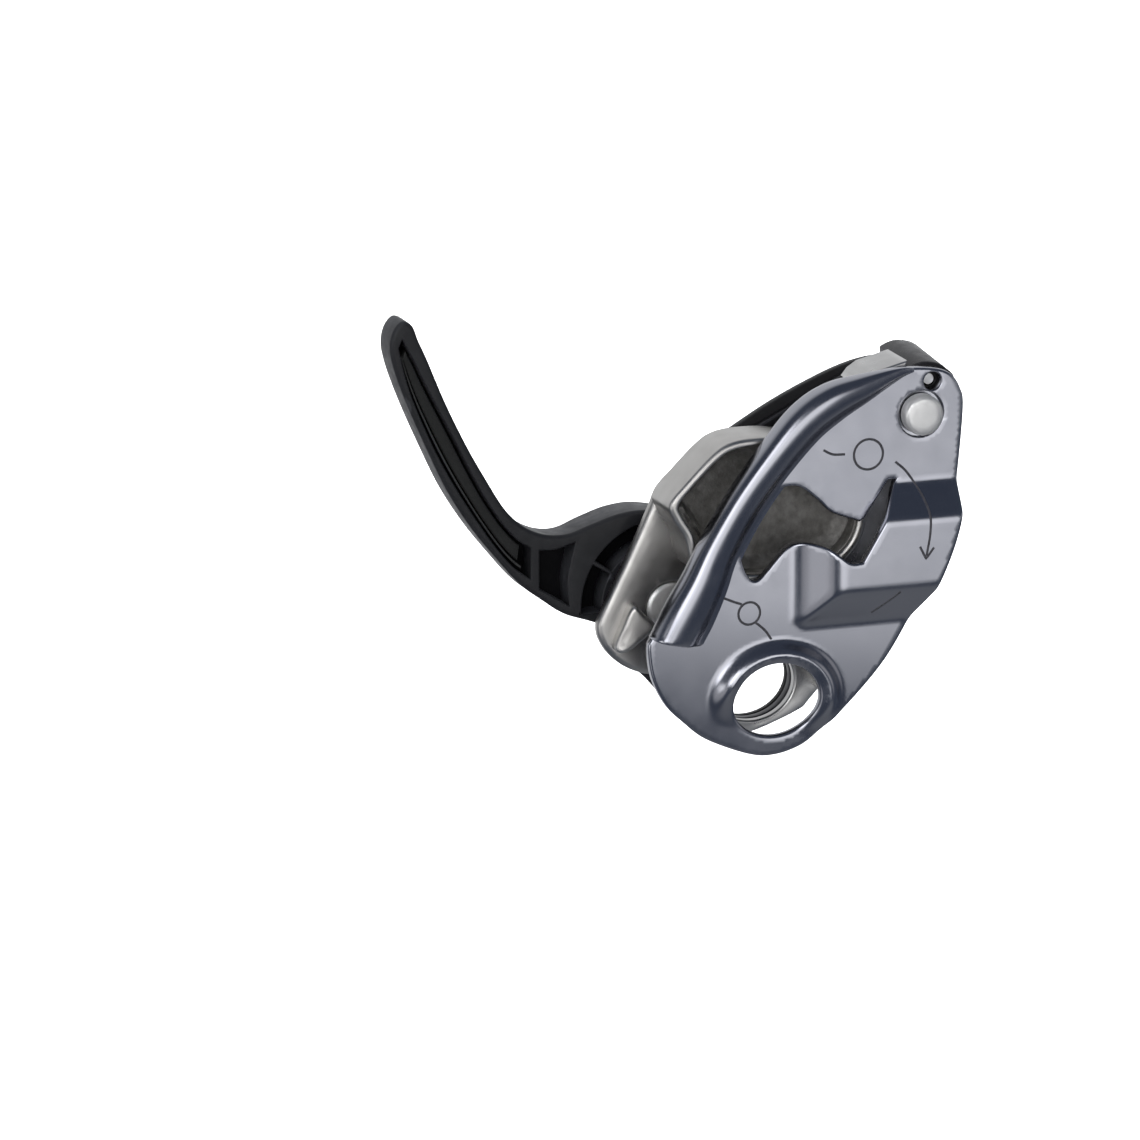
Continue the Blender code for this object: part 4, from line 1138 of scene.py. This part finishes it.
# -------- small parts kept from the frame
SOFT_EDGE = 0.12
KEPT = {
    "handle_insert": STAINLESS, "rivet_spacer": STAINLESS, "cam_bush": BRONZE, "handle_bush": BRONZE,
    "friction_plate_rivet_1": TURNED, "friction_plate_rivet_2": TURNED, "friction_plate_rivet_3": TURNED,
    "cam_drive_pin": TURNED, "cam_stop_pin": TURNED, "plate_washer": ZINC, "plate_stop_pin": ZINC,
    "axle_washer": ZINC, "cam_return_spring": SPRING, "handle_spring": SPRING, "axle_clip": SPRING,
}


def kept_parts():
    """Give the small frame parts their finish, with softened edges."""
    for name, finish in KEPT.items():
        node = frame["nodes"][name]
        node.data.materials.clear()
        node.data.materials.append(finish)
        if "spring" not in name:
            bevel = node.modifiers.new("soft_edges", "BEVEL")
            bevel.width = SOFT_EDGE * MM
            bevel.segments = 2
            bevel.limit_method = "ANGLE"
            bevel.angle_limit = math.radians(50)


# -------- studio
VIEW_AZIMUTH = -19.5
VIEW_ELEVATION = 14.3
LENS = 300.0
DISTANCE = 1900.0
AIM_LEFT = 41.4
AIM_UP = 26.0
FLOOR_DROP = 60.0
FLOOR_REACH = 8000
LIGHT_AIM = Vector((-0.015, 0.01, 0.03))


def camera():
    """A long lens at the object's own viewing angle, framed to the left of the eye and above it."""
    azimuth, elevation = math.radians(VIEW_AZIMUTH), math.radians(VIEW_ELEVATION)
    level = Vector((math.sin(azimuth), -math.cos(azimuth), 0.0))
    back = level * math.cos(elevation) + Vector((0.0, 0.0, math.sin(elevation)))
    right = Vector((0, 0, 1)).cross(back).normalized()
    up = back.cross(right)
    data = bpy.data.cameras.new("camera")
    data.lens = LENS
    data.sensor_width = 36.0
    data.clip_end = 50.0
    made = bpy.data.objects.new("camera", data)
    made.location = (up * AIM_UP - right * AIM_LEFT + back * DISTANCE) * MM
    made.rotation_euler = back.to_track_quat("Z", "Y").to_euler()
    bpy.context.scene.collection.objects.link(made)
    bpy.context.scene.camera = made


ROOM = (0.075, 0.09, 0.125)
# Each panel: where it is, the angles where it starts and ends to fade, and its light
PANELS = [
    ((0.0, 1.0, 0.25), 35, 80, (0.85, 0.86, 0.88)),
    ((0.3, -0.2, -0.93), 16, 44, (0.24, 0.25, 0.27)),
    ((0.88, -0.46, 0.05), 8, 24, (0.5, 0.5, 0.52)),
    ((-0.81, -0.47, -0.34), 10, 28, (0.6, 0.6, 0.62)),
    ((-0.93, -0.33, 0.0), 7, 18, (2.0, 2.0, 2.0)),
    ((0.15, -0.985, -0.03), 14, 24, (1.8, 1.8, 1.8)),
    ((-0.24, -0.96, 0.10), 8, 18, (2.3, 2.3, 2.3)),
    ((-0.52, -0.80, 0.28), 9, 20, (3.4, 3.4, 3.45)),
]


def world():
    """A dark room with bright panels, and white where the camera looks past the floor."""
    made = bpy.data.worlds.new("studio")
    made.use_nodes = True
    tree = made.node_tree
    shader = tree.nodes["Background"]
    direction = tree.nodes.new("ShaderNodeTexCoord").outputs["Generated"]
    total = None
    for facing, inner, outer, colour in PANELS:
        dot = tree.nodes.new("ShaderNodeVectorMath")
        dot.operation = "DOT_PRODUCT"
        dot.inputs[1].default_value = Vector(facing).normalized()
        tree.links.new(direction, dot.inputs[0])
        span = tree.nodes.new("ShaderNodeMapRange")
        span.interpolation_type = "SMOOTHSTEP"
        span.inputs["From Min"].default_value = math.cos(math.radians(outer))
        span.inputs["From Max"].default_value = math.cos(math.radians(inner))
        tree.links.new(dot.outputs["Value"], span.inputs["Value"])
        mix = tree.nodes.new("ShaderNodeMix")
        mix.data_type = "RGBA"
        mix.inputs[7].default_value = (*colour, 1)
        if total:
            tree.links.new(total, mix.inputs[6])
        else:
            mix.inputs[6].default_value = (*ROOM, 1)
        tree.links.new(span.outputs["Result"], mix.inputs[0])
        total = mix.outputs[2]
    path = tree.nodes.new("ShaderNodeLightPath")
    seen = tree.nodes.new("ShaderNodeMix")
    seen.data_type = "RGBA"
    seen.inputs[7].default_value = (1, 1, 1, 1)
    tree.links.new(total, seen.inputs[6])
    tree.links.new(path.outputs["Is Camera Ray"], seen.inputs[0])
    tree.links.new(seen.outputs[2], shader.inputs["Color"])
    bpy.context.scene.world = made


def light(name, spot, size, watts):
    """A soft square light that faces the object, and that polished parts don't mirror."""
    data = bpy.data.lights.new(name, "AREA")
    data.size = size
    data.energy = watts
    made = bpy.data.objects.new(name, data)
    made.location = spot
    aim = LIGHT_AIM - Vector(spot)
    made.rotation_euler = aim.to_track_quat("-Z", "Y").to_euler()
    made.visible_glossy = False
    bpy.context.scene.collection.objects.link(made)


def floor():
    """A plain pale floor."""
    shape = bmesh.new()
    bmesh.ops.create_grid(shape, x_segments=1, y_segments=1, size=FLOOR_REACH)
    bmesh.ops.translate(shape, vec=(0, 0, -FLOOR_DROP), verts=shape.verts)
    made = object_from("floor", shape)
    look = Look("pale_floor", (0.93, 0.93, 0.93), 0.9, 0.0)
    made.data.materials.append(look.material)
    made.visible_glossy = False


def studio():
    """Everything round the object."""
    floor()
    camera()
    world()
    light("light_top", (-0.15, -0.25, 0.65), 0.5, 9.0)
    light("light_left", (-0.6, -0.35, 0.25), 0.4, 5.0)
    light("light_back", (0.3, 0.6, 0.4), 0.5, 5.0)
    sun = bpy.data.lights.new("light_sky", "SUN")
    sun.energy = 2.2
    sun.angle = math.radians(80)
    made = bpy.data.objects.new("light_sky", sun)
    made.visible_glossy = False
    bpy.context.scene.collection.objects.link(made)
    bpy.context.scene.view_settings.view_transform = "Standard"


def build():
    """Make every piece."""
    swinging_plate()
    rolled_edge()
    marks()
    main_rivet()
    stop_block()
    top_cap()
    cam_body()
    cam_pocket()
    axle()
    handle()
    handle_floors()
    frame_plate()
    friction_plate()
    rear_cover()
    for index in range(len(SCREWS)):
        cover_screw(index)
    kept_parts()
    studio()


build()
bpy.context.view_layer.update()
